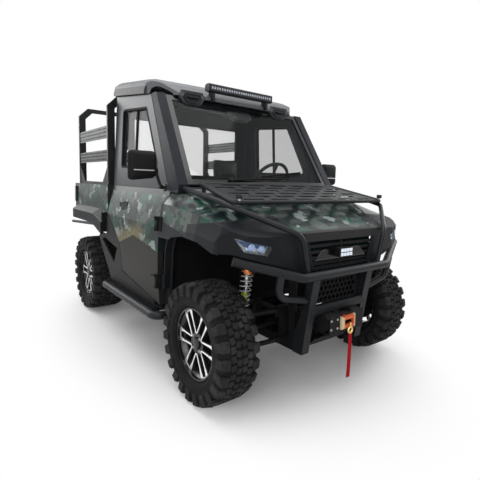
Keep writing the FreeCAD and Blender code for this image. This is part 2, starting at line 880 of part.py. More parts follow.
bumper_radius = 25
bumper_height = 745
bumper_bend_inset = 399
bumper_end_inset = 60
bumper_bend_offset = half_body - bumper_bend_inset
bumper_end_offset = half_body - bumper_end_inset
bumper_end_reach = 258
bumper_end_height = 843
bumper_leg_top_offset = 238
bumper_leg_low_offset = 210
bumper_leg_low_height = 262
bumper_leg_reach = 381
bumper_leg_low_reach = 300
bumper_leg_depth = 60
bumper_leg_thickness = 56
bumper_strip_height = 524
bumper_strip_rise = 50
outer_leg_offset = 480
outer_leg_low_height = 640
outer_leg_join_height = 585
brush_radius = 15
brush_foot_offset = 308
brush_bend_offset = 364
brush_bend_height = 968
brush_bend_reach = 404
brush_side_setback = 41
brush_side_offset = 660
brush_side_height = 1150
brush_end_height = 1190
rack_front_reach = 172
rack_front_offset = 640
rack_front_height = 1105


def front_bumper():
    centre_x = nose_x - bumper_radius
    bend = vec(centre_x, bumper_bend_offset, bumper_height)
    end = vec(front_axle_x + bumper_end_reach, bumper_end_offset, bumper_end_height)
    main = bent_tube([mirror_point(end), mirror_point(bend), bend, end], bumper_radius, bumper_radius * 3)
    half_leg = bumper_leg_thickness / 2
    foot_x = front_axle_x + bulkhead_reach + seat_gap
    top_x = front_axle_x + bumper_leg_reach
    low_x = front_axle_x + bumper_leg_low_reach
    profile = [(top_x + bumper_leg_depth / 2, bumper_height), (top_x - bumper_leg_depth / 2, bumper_height),
               (top_x - bumper_leg_depth, bumper_strip_height), (foot_x, rail_low_height + rail_rise * 2),
               (foot_x, bumper_leg_low_height),
               (low_x + bumper_leg_depth / 2, bumper_leg_low_height), (top_x - panel, bumper_strip_height)]
    leg = plate_xz(profile, bumper_leg_top_offset - half_leg, bumper_leg_top_offset + half_leg)
    strip = box(top_x - bumper_leg_depth * 0.7, top_x - panel, -bumper_leg_top_offset, bumper_leg_top_offset,
                bumper_strip_height - bumper_strip_rise / 2, bumper_strip_height + bumper_strip_rise / 2)
    outer = bent_tube([vec(centre_x - bumper_radius * 2, outer_leg_offset, bumper_height + bumper_radius),
                       vec(centre_x - bumper_radius * 3, outer_leg_offset, outer_leg_low_height),
                       vec(top_x - bumper_leg_depth / 2, bumper_leg_top_offset, outer_leg_join_height)],
                      bumper_radius * 0.8, bumper_radius * 4)
    brush = bent_tube([vec(centre_x - bumper_radius, brush_foot_offset, bumper_height),
                       vec(front_axle_x + brush_bend_reach, brush_bend_offset, brush_bend_height),
                       vec(front_axle_x + rack_front_reach, rack_front_offset, rack_front_height),
                       vec(behind(brush_side_setback), brush_side_offset, brush_side_height),
                       vec(behind(windscreen_foot_setback) + brush_radius / 5, brush_side_offset, brush_end_height)],
                      brush_radius, brush_radius * 5)
    side = [leg, outer, brush]
    return fuse([main, strip] + side + [mirror(shape) for shape in side])


# Hood rack

rack_tube = 13
rack_rear_setback = 268
rack_rear_offset = 594
rack_rear_height = 1222
rack_plate = 5
rack_slot_rows = 6
rack_slot_columns = 6
rack_slot_width = 34


def hood_rack():
    front_z = rack_front_height + brush_radius + rack_tube + seat_gap
    front = vec(front_axle_x + rack_front_reach, rack_front_offset, front_z)
    rear = vec(behind(rack_rear_setback), rack_rear_offset, rack_rear_height)
    half_loop = bent_tube([vec(front.x, 0, front.z), front, rear, vec(rear.x, 0, rear.z)], rack_tube, rack_tube * 2)
    foot = rod(rear - vec(0, rack_tube * 2, 0), vec(rear.x, rear.y - rack_tube * 2, nose_height), rack_tube)
    foot = foot.cut(front_form(-seat_gap))
    foot = max(foot.Solids, key=lambda solid: solid.BoundBox.ZMax)
    inner = [vec(front.x, front.y - rack_tube * 2, front.z), vec(rear.x, rear.y - rack_tube * 2, rear.z)]
    deck = face([inner[0], inner[1], mirror_point(inner[1]), mirror_point(inner[0])]).extrude(vec(0, 0, rack_plate))
    wings = face([front, rear, inner[1], inner[0]]).extrude(vec(0, 0, rack_plate))
    deck = cut(fuse([deck, wings, mirror(wings)]), rack_slots())
    return fuse([half_loop, mirror(half_loop), deck, foot, mirror(foot)])


def rack_slots():
    # Staggered slots in rows across the deck.
    row_pitch = (rack_front_reach + rack_rear_setback) / rack_slot_rows
    slots = []
    for row in range(rack_slot_rows):
        x = front_axle_x + rack_front_reach - row_pitch * (row + 0.5)
        columns = rack_slot_columns - row % 2
        pitch = (rack_rear_offset - rack_tube) * 2 / rack_slot_columns
        for column in range(columns):
            y = (column - (columns - 1) / 2) * pitch
            slots.append(box(x - rack_slot_width / 2, x + rack_slot_width / 2, y - pitch * 0.36, y + pitch * 0.36,
                             nose_height, rack_rear_height + overrun * 2))
    return slots


# Winch, fairlead, hook and pull strap

winch_height = 443
winch_drum_radius = 40
winch_drum_half = 75
winch_end_half = 150
winch_end_radius = 52
winch_reach = 372
fairlead_half_width = 62
fairlead_rise = 78
fairlead_thickness = 12
fairlead_roller_radius = 9
hook_radius = 17
hook_wire = 6
hook_height = 396
strap_width = 30
strap_thickness = 4
strap_low_height = 106


def winch():
    x = front_axle_x + winch_reach
    drum = rod(vec(x, -winch_drum_half, winch_height), vec(x, winch_drum_half, winch_height), winch_drum_radius)
    ends = [rod(vec(x, side * winch_drum_half, winch_height), vec(x, side * winch_end_half, winch_height),
                winch_end_radius) for side in (-1, 1)]
    return fuse([drum] + ends)


def fairlead_x():
    return front_axle_x + winch_reach + winch_end_radius + winch_plate + fairlead_thickness + seat_gap * 2


def rope_slot(x0, x1):
    half = fairlead_half_width * 0.6
    rise = fairlead_rise / 3
    return box(x0, x1, -half, half, winch_height - rise / 2, winch_height + rise / 2)


def winch_fairlead():
    x = fairlead_x()
    plate = box(x - fairlead_thickness, x, -fairlead_half_width, fairlead_half_width, winch_height - fairlead_rise / 2,
                winch_height + fairlead_rise / 2)
    slot = rope_slot(x - fairlead_thickness - overrun, x + overrun)
    rollers = []
    reach = fairlead_half_width * 0.7
    rise = fairlead_rise * 0.42
    for side in (-1, 1):
        y = side * fairlead_half_width * 0.75
        z = winch_height + side * fairlead_rise * 0.3
        rollers.append(rod(vec(x, -reach, z), vec(x, reach, z), fairlead_roller_radius))
        rollers.append(rod(vec(x, y, winch_height - rise), vec(x, y, winch_height + rise), fairlead_roller_radius))
    return fuse([plate.cut(slot)] + rollers)


def winch_hook():
    x = fairlead_x() + fairlead_roller_radius + hook_wire + seat_gap
    loop = ring(vec(x, 0, hook_height), vec(1, 0, 0), hook_radius, hook_wire)
    shank = rod(vec(x, 0, hook_height + hook_radius), vec(x, 0, winch_height), hook_wire)
    return fuse([loop, shank])


def winch_strap():
    x = fairlead_x() + fairlead_roller_radius + hook_wire + seat_gap
    return box(x - strap_thickness / 2, x + strap_thickness / 2, -strap_width / 2, strap_width / 2, strap_low_height,
               hook_height - hook_radius - hook_wire - seat_gap)


# Chassis

rail_offset = 235
rail_width = 50
rail_rise = 50
rail_low_height = ground_clearance + 12
upper_rail_offset = 330
upper_rail_rise = 40
bulkhead_reach = 255
bulkhead_height = 735
sill_mount_offset = 660
sill_beam_setback = 490
winch_plate = 8
receiver_half = 31.75
receiver_bore_half = 25.4
receiver_length = 150
receiver_height = 360
receiver_pin_radius = 7.94
receiver_pin_setback = 55
skid_thickness = 8


def upper_rail_height():
    return bed_floor_height - bed_wall - seat_gap - upper_rail_rise


def rail_rear_x():
    return rear_axle_x - rear_overhang * 0.78


def sill_beams():
    # Low edges in X of the three beams that carry the cab.
    return (behind(sill_beam_setback), behind(seat_riser_setback), cab_rear_x)


def cross_beam(x, half_length, low, high):
    return box(x, x + rail_width, -half_length, half_length, low, high)


def chassis_frame():
    rail_rear = rail_rear_x()
    rail_front = front_axle_x + bulkhead_reach
    half = rail_width / 2
    low = rail_low_height
    high = low + rail_rise
    tower_x = front_axle_x - bulkhead_reach - rail_width
    upper_front = cab_rear_x - panel * 2 - rear_panel_thickness
    upper_low = upper_rail_height()
    rear_posts = (upper_front - rail_width, rear_axle_x - rail_width * 4, rail_rear)
    case_half = gearcase_length / 2 + seat_gap
    pieces = []
    for side in (-1, 1):
        y = side * rail_offset
        upper_y = side * upper_rail_offset
        pieces.append(box(rail_rear, rail_front, y - half, y + half, low, high))
        pieces.append(box(tower_x, rail_front, y - half, y + half, bulkhead_height - rail_width, bulkhead_height))
        pieces.append(box(rail_rear, upper_front, upper_y - half, upper_y + half,
                          upper_low, upper_low + upper_rail_rise))
        for x in (rail_front - rail_width, tower_x):
            pieces.append(box(x, x + rail_width, y - half, y + half, low, bulkhead_height))
        for x in rear_posts:
            pieces.append(plate_yz([(side * (rail_offset - half), low), (side * (rail_offset + half), low),
                                    (side * (upper_rail_offset + half), upper_low + upper_rail_rise / 2),
                                    (side * (upper_rail_offset - half), upper_low + upper_rail_rise / 2)],
                                   x, x + rail_width))
        for x in sill_beams():
            pieces.append(box(x, x + rail_width, y - half, y + half, low, floor_height - seat_gap))
        for axle_x in (front_axle_x, rear_axle_x):
            for fork in (-1, 1):
                x = axle_x + fork * arm_pivot_spread
                pieces.append(box(x - arm_radius, x + arm_radius, y - half, y + half, low,
                                  axle_height + kingpin_spread + arm_rise + arm_radius))
    for x in (rail_front - rail_width, tower_x, upper_front - rail_width, rear_axle_x + case_half,
              rear_axle_x - case_half - rail_width, rail_rear):
        pieces.append(cross_beam(x, rail_offset, low, high))
    for x in sill_beams():
        pieces.append(cross_beam(x, rail_offset, low, high))
        pieces.append(cross_beam(x, sill_mount_offset, floor_height - rail_width - seat_gap, floor_height - seat_gap))
    for x in (rail_front - rail_width, tower_x):
        pieces.append(cross_beam(x, rail_offset, bulkhead_height - rail_width, bulkhead_height))
    for x in (upper_front - rail_width, rail_rear + rail_width):
        pieces.append(cross_beam(x, upper_rail_offset, upper_low, upper_low + upper_rail_rise))
    for side in (-1, 1):
        y = side * upper_rail_offset
        pieces.append(rod(vec(rail_rear, y - half, bed_pivot_height()), vec(rail_rear, y + half, bed_pivot_height()),
                          upper_rail_rise / 2))
    pieces.append(cross_beam(front_axle_x - half, shock_top_offset(kingpin_offset) + shock_radius * 2,
                             bulkhead_height, bulkhead_height + upper_rail_rise))
    pieces.append(cross_beam(rear_axle_x - half, shock_top_offset(rear_knuckle_offset) + shock_radius * 2,
                             upper_low - upper_rail_rise, upper_low + upper_rail_rise / 2))
    cradle_top = winch_height - winch_end_radius - seat_gap
    cradle_front = front_axle_x + winch_reach + winch_end_radius + seat_gap + winch_plate
    pieces.append(cross_beam(rail_front - rail_width, rail_offset, cradle_top - winch_plate, cradle_top))
    pieces.append(box(rail_front - rail_width, cradle_front, -winch_end_half, winch_end_half,
                      cradle_top - winch_plate, cradle_top))
    face_plate = box(cradle_front - winch_plate, cradle_front, -winch_end_half, winch_end_half,
                     cradle_top - winch_plate, winch_height + winch_end_radius)
    pieces.append(face_plate.cut(rope_slot(cradle_front - overrun, cradle_front + overrun)))
    receiver = box(tail_x, rail_rear + rail_width, -receiver_half, receiver_half, receiver_height - receiver_half,
                   receiver_height + receiver_half)
    hanger = cross_beam(rail_rear, rail_offset, low, receiver_height + receiver_half)
    frame = fuse(pieces + [receiver, hanger])
    socket = box(tail_x - overrun, tail_x + receiver_length, -receiver_bore_half, receiver_bore_half,
                 receiver_height - receiver_bore_half, receiver_height + receiver_bore_half)
    pin = rod(vec(tail_x + receiver_pin_setback, -body_width, receiver_height),
              vec(tail_x + receiver_pin_setback, body_width, receiver_height), receiver_pin_radius)
    tunnel = box(rear_axle_x + gearcase_length, front_axle_x - gearcase_length, -shaft_radius * 2, shaft_radius * 2,
                 axle_height - shaft_radius - running_gap, axle_height + shaft_radius + running_gap)
    hinge_bore = rod(vec(rail_rear, upper_rail_offset - rail_width / 4, bed_pivot_height()),
                     vec(rail_rear, upper_rail_offset + rail_width, bed_pivot_height()), bed_pin_radius + pin_clearance)
    return cut(frame, [socket, pin, tunnel, hinge_bore, mirror(hinge_bore)])


def skid_plate():
    z1 = rail_low_height - seat_gap
    half = rail_offset + rail_width / 2
    front = front_axle_x + bulkhead_reach
    plate = box(cab_rear_x, front, -half, half, z1 - skid_thickness, z1)
    nose = plate_xz([(front, z1 - skid_thickness), (front + bumper_leg_depth, z1 + rail_rise),
                     (front + bumper_leg_depth, z1 + rail_rise + skid_thickness), (front, z1)],
                    -bumper_leg_low_offset + bumper_leg_thickness, bumper_leg_low_offset - bumper_leg_thickness)
    return fuse([plate, nose])


# Suspension

arm_radius = 15
arm_pivot_spread = 130
arm_rise = 30
kingpin_offset = 575
kingpin_spread = 105
axle_height = tyre_radius
rear_knuckle_offset = 500
shock_radius = 14
spring_radius = 31
shock_foot_share = 0.62
shock_lean = 45
half_shaft_radius = 14
boot_radius = 34


def arm_pivot_offset():
    return rail_offset + rail_width / 2 + arm_radius * 1.3 + seat_gap


def wishbone(axle_x, height, pivot_height, outer_offset):
    outer = vec(axle_x, outer_offset, height)
    arms = []
    bridge = []
    for side in (-1, 1):
        pivot = vec(axle_x + side * arm_pivot_spread, arm_pivot_offset(), pivot_height)
        arms.append(rod(pivot, outer, arm_radius))
        arms.append(rod(pivot - vec(arm_radius, 0, 0), pivot + vec(arm_radius, 0, 0), arm_radius * 1.3))
        bridge.append(pivot + (outer - pivot) * shock_foot_share)
    ball = Part.makeCylinder(arm_radius * 1.2, arm_radius * 3, outer - vec(0, 0, arm_radius * 1.5))
    return fuse(arms + [ball, rod(bridge[0], bridge[1], arm_radius)])


def suspension_arms(axle_x, outer_offset):
    low = axle_height - kingpin_spread
    high = axle_height + kingpin_spread
    shapes = both_sides(wishbone(axle_x, low, rail_low_height + rail_rise / 2, outer_offset))
    return shapes + both_sides(wishbone(axle_x, high, high + arm_rise, outer_offset))


def shock_foot_offset(outer_offset):
    return arm_pivot_offset() + (outer_offset - arm_pivot_offset()) * shock_foot_share


def shock_top_offset(outer_offset):
    return shock_foot_offset(outer_offset) - shock_lean


def shock(axle_x, outer_offset, top_height):
    foot_height = axle_height + kingpin_spread + arm_rise * (1 - shock_foot_share) + arm_radius + seat_gap * 3
    foot = vec(axle_x, shock_foot_offset(outer_offset), foot_height)
    top = vec(axle_x, shock_top_offset(outer_offset), top_height)
    run = top - foot
    eye_top = rod(top - vec(shock_radius, 0, shock_radius), top + vec(shock_radius, 0, -shock_radius), shock_radius)
    eye_foot = rod(foot + vec(-shock_radius, 0, shock_radius), foot + vec(shock_radius, 0, shock_radius), shock_radius)
    body = rod(foot + run * 0.06, top - run * 0.06, shock_radius * 0.8)
    spring = rod(foot + run * 0.16, top - run * 0.14, spring_radius)
    return fuse([body, spring, eye_top, eye_foot])


def half_shaft(axle_x, inner, outer):
    shaft = rod(vec(axle_x, inner, axle_height), vec(axle_x, outer, axle_height), half_shaft_radius)
    boots = [rod(vec(axle_x, y, axle_height), vec(axle_x, y + boot_radius * 1.4, axle_height), boot_radius)
             for y in (inner, outer - boot_radius * 2)]
    return fuse([shaft] + boots)


# Knuckles, rims and tyres

hub_radius = 62
joint_ball_radius = 38
hub_flange = 14
rim_lip_radius = 200
rim_barrel_radius = 172
rim_wall = 8
rim_bead_inset = 12
rim_face_inset = 34
spoke_count = 6
spoke_depth = 26
lug_bore_pcd = 110
lug_bore_radius = 6
lug_depth = 14
lug_pitches = 18
tyre_bead_radius = 203


def knuckle(axle_x, offset, wheel_offset):
    reach = kingpin_spread - arm_radius * 1.5 - seat_gap
    carrier = rod(vec(axle_x, offset, axle_height - reach), vec(axle_x, offset, axle_height + reach), arm_radius * 1.3)
    face_y = hub_plane(wheel_offset)
    hub = rod(vec(axle_x, offset, axle_height), vec(axle_x, face_y - hub_flange, axle_height), joint_ball_radius)
    nose = Part.makeCone(joint_ball_radius, joint_ball_radius * 0.35, joint_ball_radius * 0.9,
                         vec(axle_x, offset, axle_height), vec(0, -1, 0))
    flange = rod(vec(axle_x, face_y - hub_flange, axle_height), vec(axle_x, face_y, axle_height), hub_radius)
    return fuse([carrier, hub, nose, flange])


def hub_plane(wheel_offset):
    # Wheel mounting face, just inboard of the wheel's centre plane.
    return wheel_offset - hub_flange


def spoke_blade(face_y):
    # One bar of a split spoke, swept from the hub out to the barrel.
    inner = hub_radius * 0.8
    outer = rim_barrel_radius + rim_wall / 2
    half_in = inner * 0.16
    half_out = outer * 0.085
    outline = [(inner, -half_in), (outer, -half_out), (outer, half_out), (inner, half_in)]
    points = [vec(x, face_y - spoke_depth, z) for x, z in outline]
    return face(points).extrude(vec(0, spoke_depth, 0))


def rim(width, wheel_offset):
    half = width / 2 - rim_bead_inset * 2
    barrel = revolve_about_y([
        (rim_lip_radius, half), (rim_lip_radius, half - rim_wall), (rim_barrel_radius + rim_wall, half - rim_wall * 3),
        (rim_barrel_radius + rim_wall, -half), (rim_barrel_radius, -half),
        (rim_barrel_radius, half - rim_wall * 2.4), (rim_lip_radius - rim_wall, half)], wheel_offset)
    face_y = wheel_offset + half - rim_face_inset
    plane = hub_plane(wheel_offset)
    plane += seat_gap
    hub = revolve_about_y([(0, plane - wheel_offset), (hub_radius, plane - wheel_offset),
                           (hub_radius * 0.9, face_y - wheel_offset), (0, face_y - wheel_offset)], wheel_offset)
    blades = []
    for turn in range(spoke_count):
        for lean in (-0.22, 0.22):
            angle = (turn + lean) * 360 / spoke_count
            blade = spoke_blade(face_y)
            blade.rotate(vec(0, 0, 0), vec(0, 1, 0), angle)
            blades.append(blade)
    bore_x = lug_bore_pcd / 2
    bores = [rod(vec(bore_x, plane - overrun, 0), vec(bore_x, face_y + overrun, 0), lug_bore_radius)]
    for turn in (90, 180, 270):
        bore = bores[0].copy()
        bore.rotate(vec(0, 0, 0), vec(0, 1, 0), turn)
        bores.append(bore)
    return cut(fuse([barrel, hub] + blades), bores)


def flat_ring(outline, sides, centre_y):
    # Solid ring of flat faces: an outline of (radius, y) points stepped round the Y axis.
    def corner(station, turn):
        radius, y = station
        angle = 2 * math.pi * turn / sides
        return vec(radius * math.cos(angle), centre_y + y, radius * math.sin(angle))

    faces = []
    for turn in range(sides):
        for first, second in zip(outline, outline[1:] + outline[:1]):
            faces.append(face([corner(first, turn), corner(second, turn),
                               corner(second, turn + 1), corner(first, turn + 1)]))
    ring_solid = Part.makeSolid(Part.makeShell(faces))
    if ring_solid.Volume < 0:
        ring_solid.reverse()
    return ring_solid


def tyre(width, wheel_offset):
    # The carcass steps twice to a lug pitch, so each lug stands on flats.
    half = width / 2
    sides = lug_pitches * 2
    around = 1 / math.cos(math.pi / sides)
    tread = tyre_radius - lug_depth
    bore = (rim_barrel_radius + rim_wall + seat_gap) * around
    bead = (rim_lip_radius + seat_gap) * around
    seat = half - rim_bead_inset * 2
    profile = [(bore, seat - rim_wall * 3), (bead, seat - rim_wall),
               (tyre_bead_radius + rim_bead_inset * 2, half * 0.93), (tyre_radius * 0.83, half),
               (tread * 0.975, half * 0.84), (tread, half * 0.3)]
    outline = profile + [(radius, -y) for radius, y in profile[::-1]]
    carcass = flat_ring(outline, sides, wheel_offset)
    pitch = 360 / lug_pitches
    block = 2 * tyre_radius * math.sin(math.radians(pitch / 4))
    tip = tyre_radius * math.cos(math.radians(pitch / 4))
    lugs = []
    for side in (-1, 1):
        lug_outline = [(tread * 0.94, half * 0.1), (tip, half * 0.1), (tip * 0.985, half * 0.86),
                       (tyre_radius * 0.93, half), (tyre_radius * 0.83, half), (tyre_radius * 0.83, half * 0.8)]
        points = [vec(radius, wheel_offset + side * y, -block / 2) for radius, y in lug_outline]
        shoulder = face(points).extrude(vec(0, 0, block))
        for turn in range(lug_pitches):
            lug = shoulder.copy()
            lug.rotate(vec(0, 0, 0), vec(0, 1, 0), (turn + 0.25 * side) * pitch)
            lugs.append(lug)
    return fuse([carcass] + lugs)


# Drive line, engine and muffler

gearcase_length = 230
gearcase_half_width = 105
shaft_radius = 19
engine_length = 380
engine_half_width = 205
engine_rise = 440
muffler_radius = 70
muffler_length = 300
muffler_height = 640
exhaust_radius = 22
exhaust_offset = 90


def engine_rear_x():
    return rear_axle_x + gearcase_length / 2 + rail_width + seat_gap * 2


def drive_line():
    rise = axle_height - rail_low_height
    cases = []
    for axle_x in (front_axle_x, rear_axle_x):
        case = box(axle_x - gearcase_length / 2, axle_x + gearcase_length / 2,
                   -gearcase_half_width, gearcase_half_width,
                   rail_low_height, axle_height + rise)
        cases.append(case.makeChamfer(panel * 2, case.Edges))
    shaft = rod(vec(engine_rear_x() + engine_length + seat_gap, 0, axle_height),
                vec(front_axle_x - gearcase_length / 2 + panel, 0, axle_height), shaft_radius)
    return [fuse([cases[0], shaft]), cases[1]]


def engine_block():
    x0 = engine_rear_x()
    low = rail_low_height + rail_rise + seat_gap
    return box(x0, x0 + engine_length, -engine_half_width, engine_half_width, low, low + engine_rise)


def muffler():
    x = rear_axle_x - rear_overhang * 0.55
    can = rod(vec(x, -muffler_length / 2, muffler_height), vec(x, muffler_length / 2, muffler_height), muffler_radius)
    pipe = rod(vec(x, exhaust_offset, muffler_height), vec(engine_rear_x() - seat_gap, exhaust_offset, muffler_height),
               exhaust_radius)
    return fuse([can, pipe])


# Side steps and lower side panels

step_reach = 825
step_radius = 27
step_height = 371
step_bar_offset = 752
step_bar_radius = 14
step_tread_length = 480
intake_front_setback = 1250
intake_rear_setback = 1612
intake_low_height = 567
intake_high_height = 748
panel_front_setback = 590
panel_rear_setback = 1700
panel_rear_height = 745
panel_knee_setback = 1500
panel_knee_height = 500
panel_foot_setback = 1450
sill_rear_setback = 1330


def side_steps():
    front_x = behind(sill_beam_setback) + rail_width / 2
    rear_x = cab_rear_x + rail_width / 2
    outer = step_reach - step_radius
    inner = sill_mount_offset + seat_gap
    points = [(front_x, inner), (front_x, outer), (rear_x, outer), (rear_x, inner)]
    loop = bent_tube([vec(x, y, step_height) for x, y in points], step_radius, step_radius * 2)
    bar = rod(vec(front_x, step_bar_offset, step_height), vec(rear_x, step_bar_offset, step_height), step_bar_radius)
    tread = box(front_x - step_tread_length, front_x, step_bar_offset - step_bar_radius * 2, step_bar_offset,
                step_height - step_bar_radius, step_height)
    return both_sides(fuse([loop, bar, tread]))


def lower_panels():
    outline = [
        (behind(panel_front_setback), floor_height),
        (behind(panel_front_setback), door_sill_front_height),
        (behind(door_rear_low_setback), belt_height),
        (cab_rear_x, belt_height),
        (cab_rear_x, flare_front_low_height - panel),
        (behind(panel_rear_setback - panel * 6), flare_front_low_height - panel),
        (behind(panel_rear_setback), panel_rear_height),
        (behind(panel_knee_setback), panel_knee_height),
        (behind(panel_foot_setback), floor_height),
    ]
    slab = side_slab(0, panel, behind(panel_rear_setback), front_axle_x)
    shape = slab.common(outline_prism(outline, 0)).cut(door_gap_prism())
    shares = [(0.0, 0.88), (0.17, 1.0), (1.0, 0.72), (0.8, 0.12), (0.735, 0.0)]
    intake = outline_prism(spread(shares, (behind(intake_rear_setback), behind(intake_front_setback)),
                                  (intake_low_height, intake_high_height)), 0)
    shape = shape.cut(intake)
    shape = max(shape.Solids, key=lambda solid: solid.Volume)
    flange = side_slab(panel / 2, body_width / 4, behind(sill_rear_setback), behind(door_front_setback))
    flange = flange.common(box(cab_rear_x, front_axle_x, tub_width / 2 + seat_gap, body_width,
                               floor_height, floor_height + panel))
    return both_sides(fuse([shape, flange]))


# Bed

bed_width = 1480
bed_floor_height = 930
bed_wall = 25
bed_top_height = 1182
tailgate_thickness = 34
tailgate_ear = 12
tailgate_pin_radius = 6
tailgate_pin_length = 40
bed_pin_radius = 8
bed_ear = 10
pin_clearance = 0.05


def bed_tub():
    half = bed_width / 2
    x0 = bed_rear_x + tailgate_thickness + running_gap
    outer = box(x0, bed_front_x, -half, half, bed_floor_height - bed_wall, bed_top_height)
    inner = box(x0 - overrun, bed_front_x - bed_wall, -half + bed_wall, half - bed_wall, bed_floor_height,
                bed_top_height + overrun)
    sill_half = half - tailgate_ear - seat_gap
    sill = box(tailgate_pivot_x(), x0, -sill_half, sill_half, bed_floor_height - bed_wall, bed_floor_height - seat_gap)
    barrel = rod(tailgate_pivot(-sill_half), tailgate_pivot(sill_half), tailgate_thickness / 2)
    bore = rod(tailgate_pivot(sill_half - tailgate_pin_length), tailgate_pivot(half),
               tailgate_pin_radius + pin_clearance)
    ears = []
    for side in (-1, 1):
        y0 = side * (upper_rail_offset + rail_width / 2 + seat_gap)
        y1 = y0 + side * bed_ear
        pivot_x = rail_rear_x()
        pivot_z = bed_pivot_height()
        round_end = upper_rail_rise / 2 - seat_gap
        ears.append(plate_xz([(pivot_x - round_end, pivot_z), (pivot_x + round_end, pivot_z),
                              (pivot_x + round_end * 3, bed_floor_height - bed_wall),
                              (pivot_x - round_end, bed_floor_height - bed_wall)], min(y0, y1), max(y0, y1)))
        ears.append(rod(vec(pivot_x, y0, pivot_z), vec(pivot_x, y1, pivot_z), round_end))
        ears.append(rod(vec(pivot_x, y0 - side * rail_width / 2, pivot_z), vec(pivot_x, y1, pivot_z), bed_pin_radius))
    shape = fuse([outer.cut(inner), sill, barrel] + ears)
    return cut(shape, [bore, mirror(bore)])


def tailgate_pivot_x():
    return bed_rear_x + tailgate_thickness / 2


def tailgate_pivot(y):
    return vec(tailgate_pivot_x(), y, bed_floor_height - tailgate_thickness / 2)


def bed_pivot_height():
    return upper_rail_height() + upper_rail_rise / 2


def tailgate():
    half = bed_width / 2
    gate = box(bed_rear_x, bed_rear_x + tailgate_thickness, -half, half, bed_floor_height + seat_gap, bed_top_height)
    ears = []
    for side in (-1, 1):
        end = side * half
        inner = end - side * tailgate_ear
        ears.append(box(bed_rear_x, bed_rear_x + tailgate_thickness, min(end, inner), max(end, inner),
                        tailgate_pivot(0).z, bed_floor_height + seat_gap))
        ears.append(rod(tailgate_pivot(inner), tailgate_pivot(end), tailgate_thickness / 2))
        ears.append(rod(tailgate_pivot(inner - side * (tailgate_pin_length - overrun / 2)), tailgate_pivot(end),
                        tailgate_pin_radius))
    return fuse([gate] + ears)


cage_height = 734
cage_tube = 24
cage_post_width = 60
cage_rear_inset = 126
cage_chamfer = 82
cage_plate = 5
cage_bar_rise = 38
cage_band_shares = ((0.27, 0.40), (0.53, 0.67))
cage_gusset = 165
cage_hole = 15
cage_hole_pitch = 34


def cage_hoop(x):
    # Chamfered hoop of plate across the bed.
    half = bed_width / 2 - panel
    low = bed_top_height + seat_gap
    high = low + cage_height
    left = [(half, low), (half, high - cage_chamfer), (half - cage_chamfer, high)]
    outer = left + [(-y, z) for y, z in left[::-1]]
    inner_half = half - cage_post_width
    inner_high = high - cage_bar_rise
    left = [(inner_half, low - overrun), (inner_half, inner_high - cage_chamfer * 0.8),
            (inner_half - cage_chamfer * 0.8, inner_high)]
    inner = left + [(-y, z) for y, z in left[::-1]]
    return plate_yz(outer, x, x + cage_tube).cut(plate_yz(inner, x - overrun, x + cage_tube + overrun))


def band_holes(x0, x1, low, high, y):
    # Three rows of square holes along a band.
    columns = int((x1 - x0) / cage_hole_pitch) - 1
    half = cage_hole / 2
    holes = []
    for column in range(columns):
        x = (x0 + x1) / 2 + (column - (columns - 1) / 2) * cage_hole_pitch
        for row in (-1, 0, 1):
            z = (low + high) / 2 + row * (high - low) * 0.3
            holes.append(box(x - half, x + half, y - overrun, y + overrun, z - half, z + half))
    return Part.makeCompound(holes)


def bed_cage():
    y = bed_width / 2 - panel - cage_plate
    front_x = bed_front_x - cage_tube - panel
    rear_x = bed_rear_x + cage_rear_inset
    low = bed_top_height + seat_gap
    sides = [box(rear_x, front_x, y - cage_tube, y, low, low + cage_tube)]
    for low_share, high_share in cage_band_shares:
        z0 = low + cage_height * low_share
        z1 = low + cage_height * high_share
        band = box(rear_x, front_x, y - cage_plate, y, z0, z1)
        sides.append(band.cut(band_holes(rear_x + cage_tube, front_x, z0, z1, y)))
    for corner_x, direction in ((front_x, -1), (rear_x + cage_tube, 1)):
        tip_x = corner_x + direction * cage_gusset
        sides.append(plate_xz([(corner_x, low), (tip_x, low), (corner_x, low + cage_gusset)], y - cage_plate, y))
    hoops = [cage_hoop(front_x), cage_hoop(rear_x)]
    return fuse(hoops + sides + [mirror(shape) for shape in sides])


flare_reach = 800
flare_low_height = 848
flare_high_height = 974
flare_front_low_height = 790
flare_front_inset = 5
flare_slope_length = 215
flare_rear_inset = 125
flare_skin = 14
guard_radius = 13
guard_rear_height = 800
guard_rear_reach = 50


def flare_section(x, drop):
    # Bent sheet: a sloping top and an upright outer face.
    inner = bed_width / 2 + seat_gap
    edge = flare_high_height - flare_skin * 2.4
    shares = [(inner, flare_high_height), (flare_reach - panel, edge), (flare_reach, edge - panel),
              (flare_reach, flare_low_height), (flare_reach - flare_skin, flare_low_height),
              (flare_reach - flare_skin * 1.5, edge - flare_skin), (inner, flare_high_height - flare_skin)]
    points = [vec(x, y, z - drop) for y, z in shares]
    return Part.makePolygon(points + points[:1])


def bed_flares():
    x0 = bed_rear_x + flare_rear_inset
    x1 = bed_front_x - flare_front_inset
    knee_x = x1 - flare_slope_length
    drop = flare_low_height - flare_front_low_height
    flare = Part.makeLoft([flare_section(x0, 0), flare_section(knee_x, 0), flare_section(x1, drop)], True, True)
    tube_y = flare_reach - guard_radius
    rear = vec(x0 - guard_rear_reach, tube_y, guard_rear_height)
    knee = vec(knee_x, tube_y, flare_low_height - guard_radius / 2)
    front = vec(x1 - guard_radius, tube_y, flare_front_low_height - guard_radius / 2)
    return both_sides(fuse([flare, bent_tube([rear, knee, front], guard_radius, guard_radius * 3)]))


lamp_width = 16
lamp_rise = 150
lamp_depth = 16


def tail_lamps():
    x1 = bed_rear_x + tailgate_thickness + running_gap
    y1 = bed_width / 2 + lamp_width + seat_gap
    lamp = box(x1, x1 + lamp_depth * 2, bed_width / 2 + seat_gap, y1, bed_top_height - lamp_rise * 1.2,
               bed_top_height - lamp_rise * 0.2)
    return both_sides(lamp)


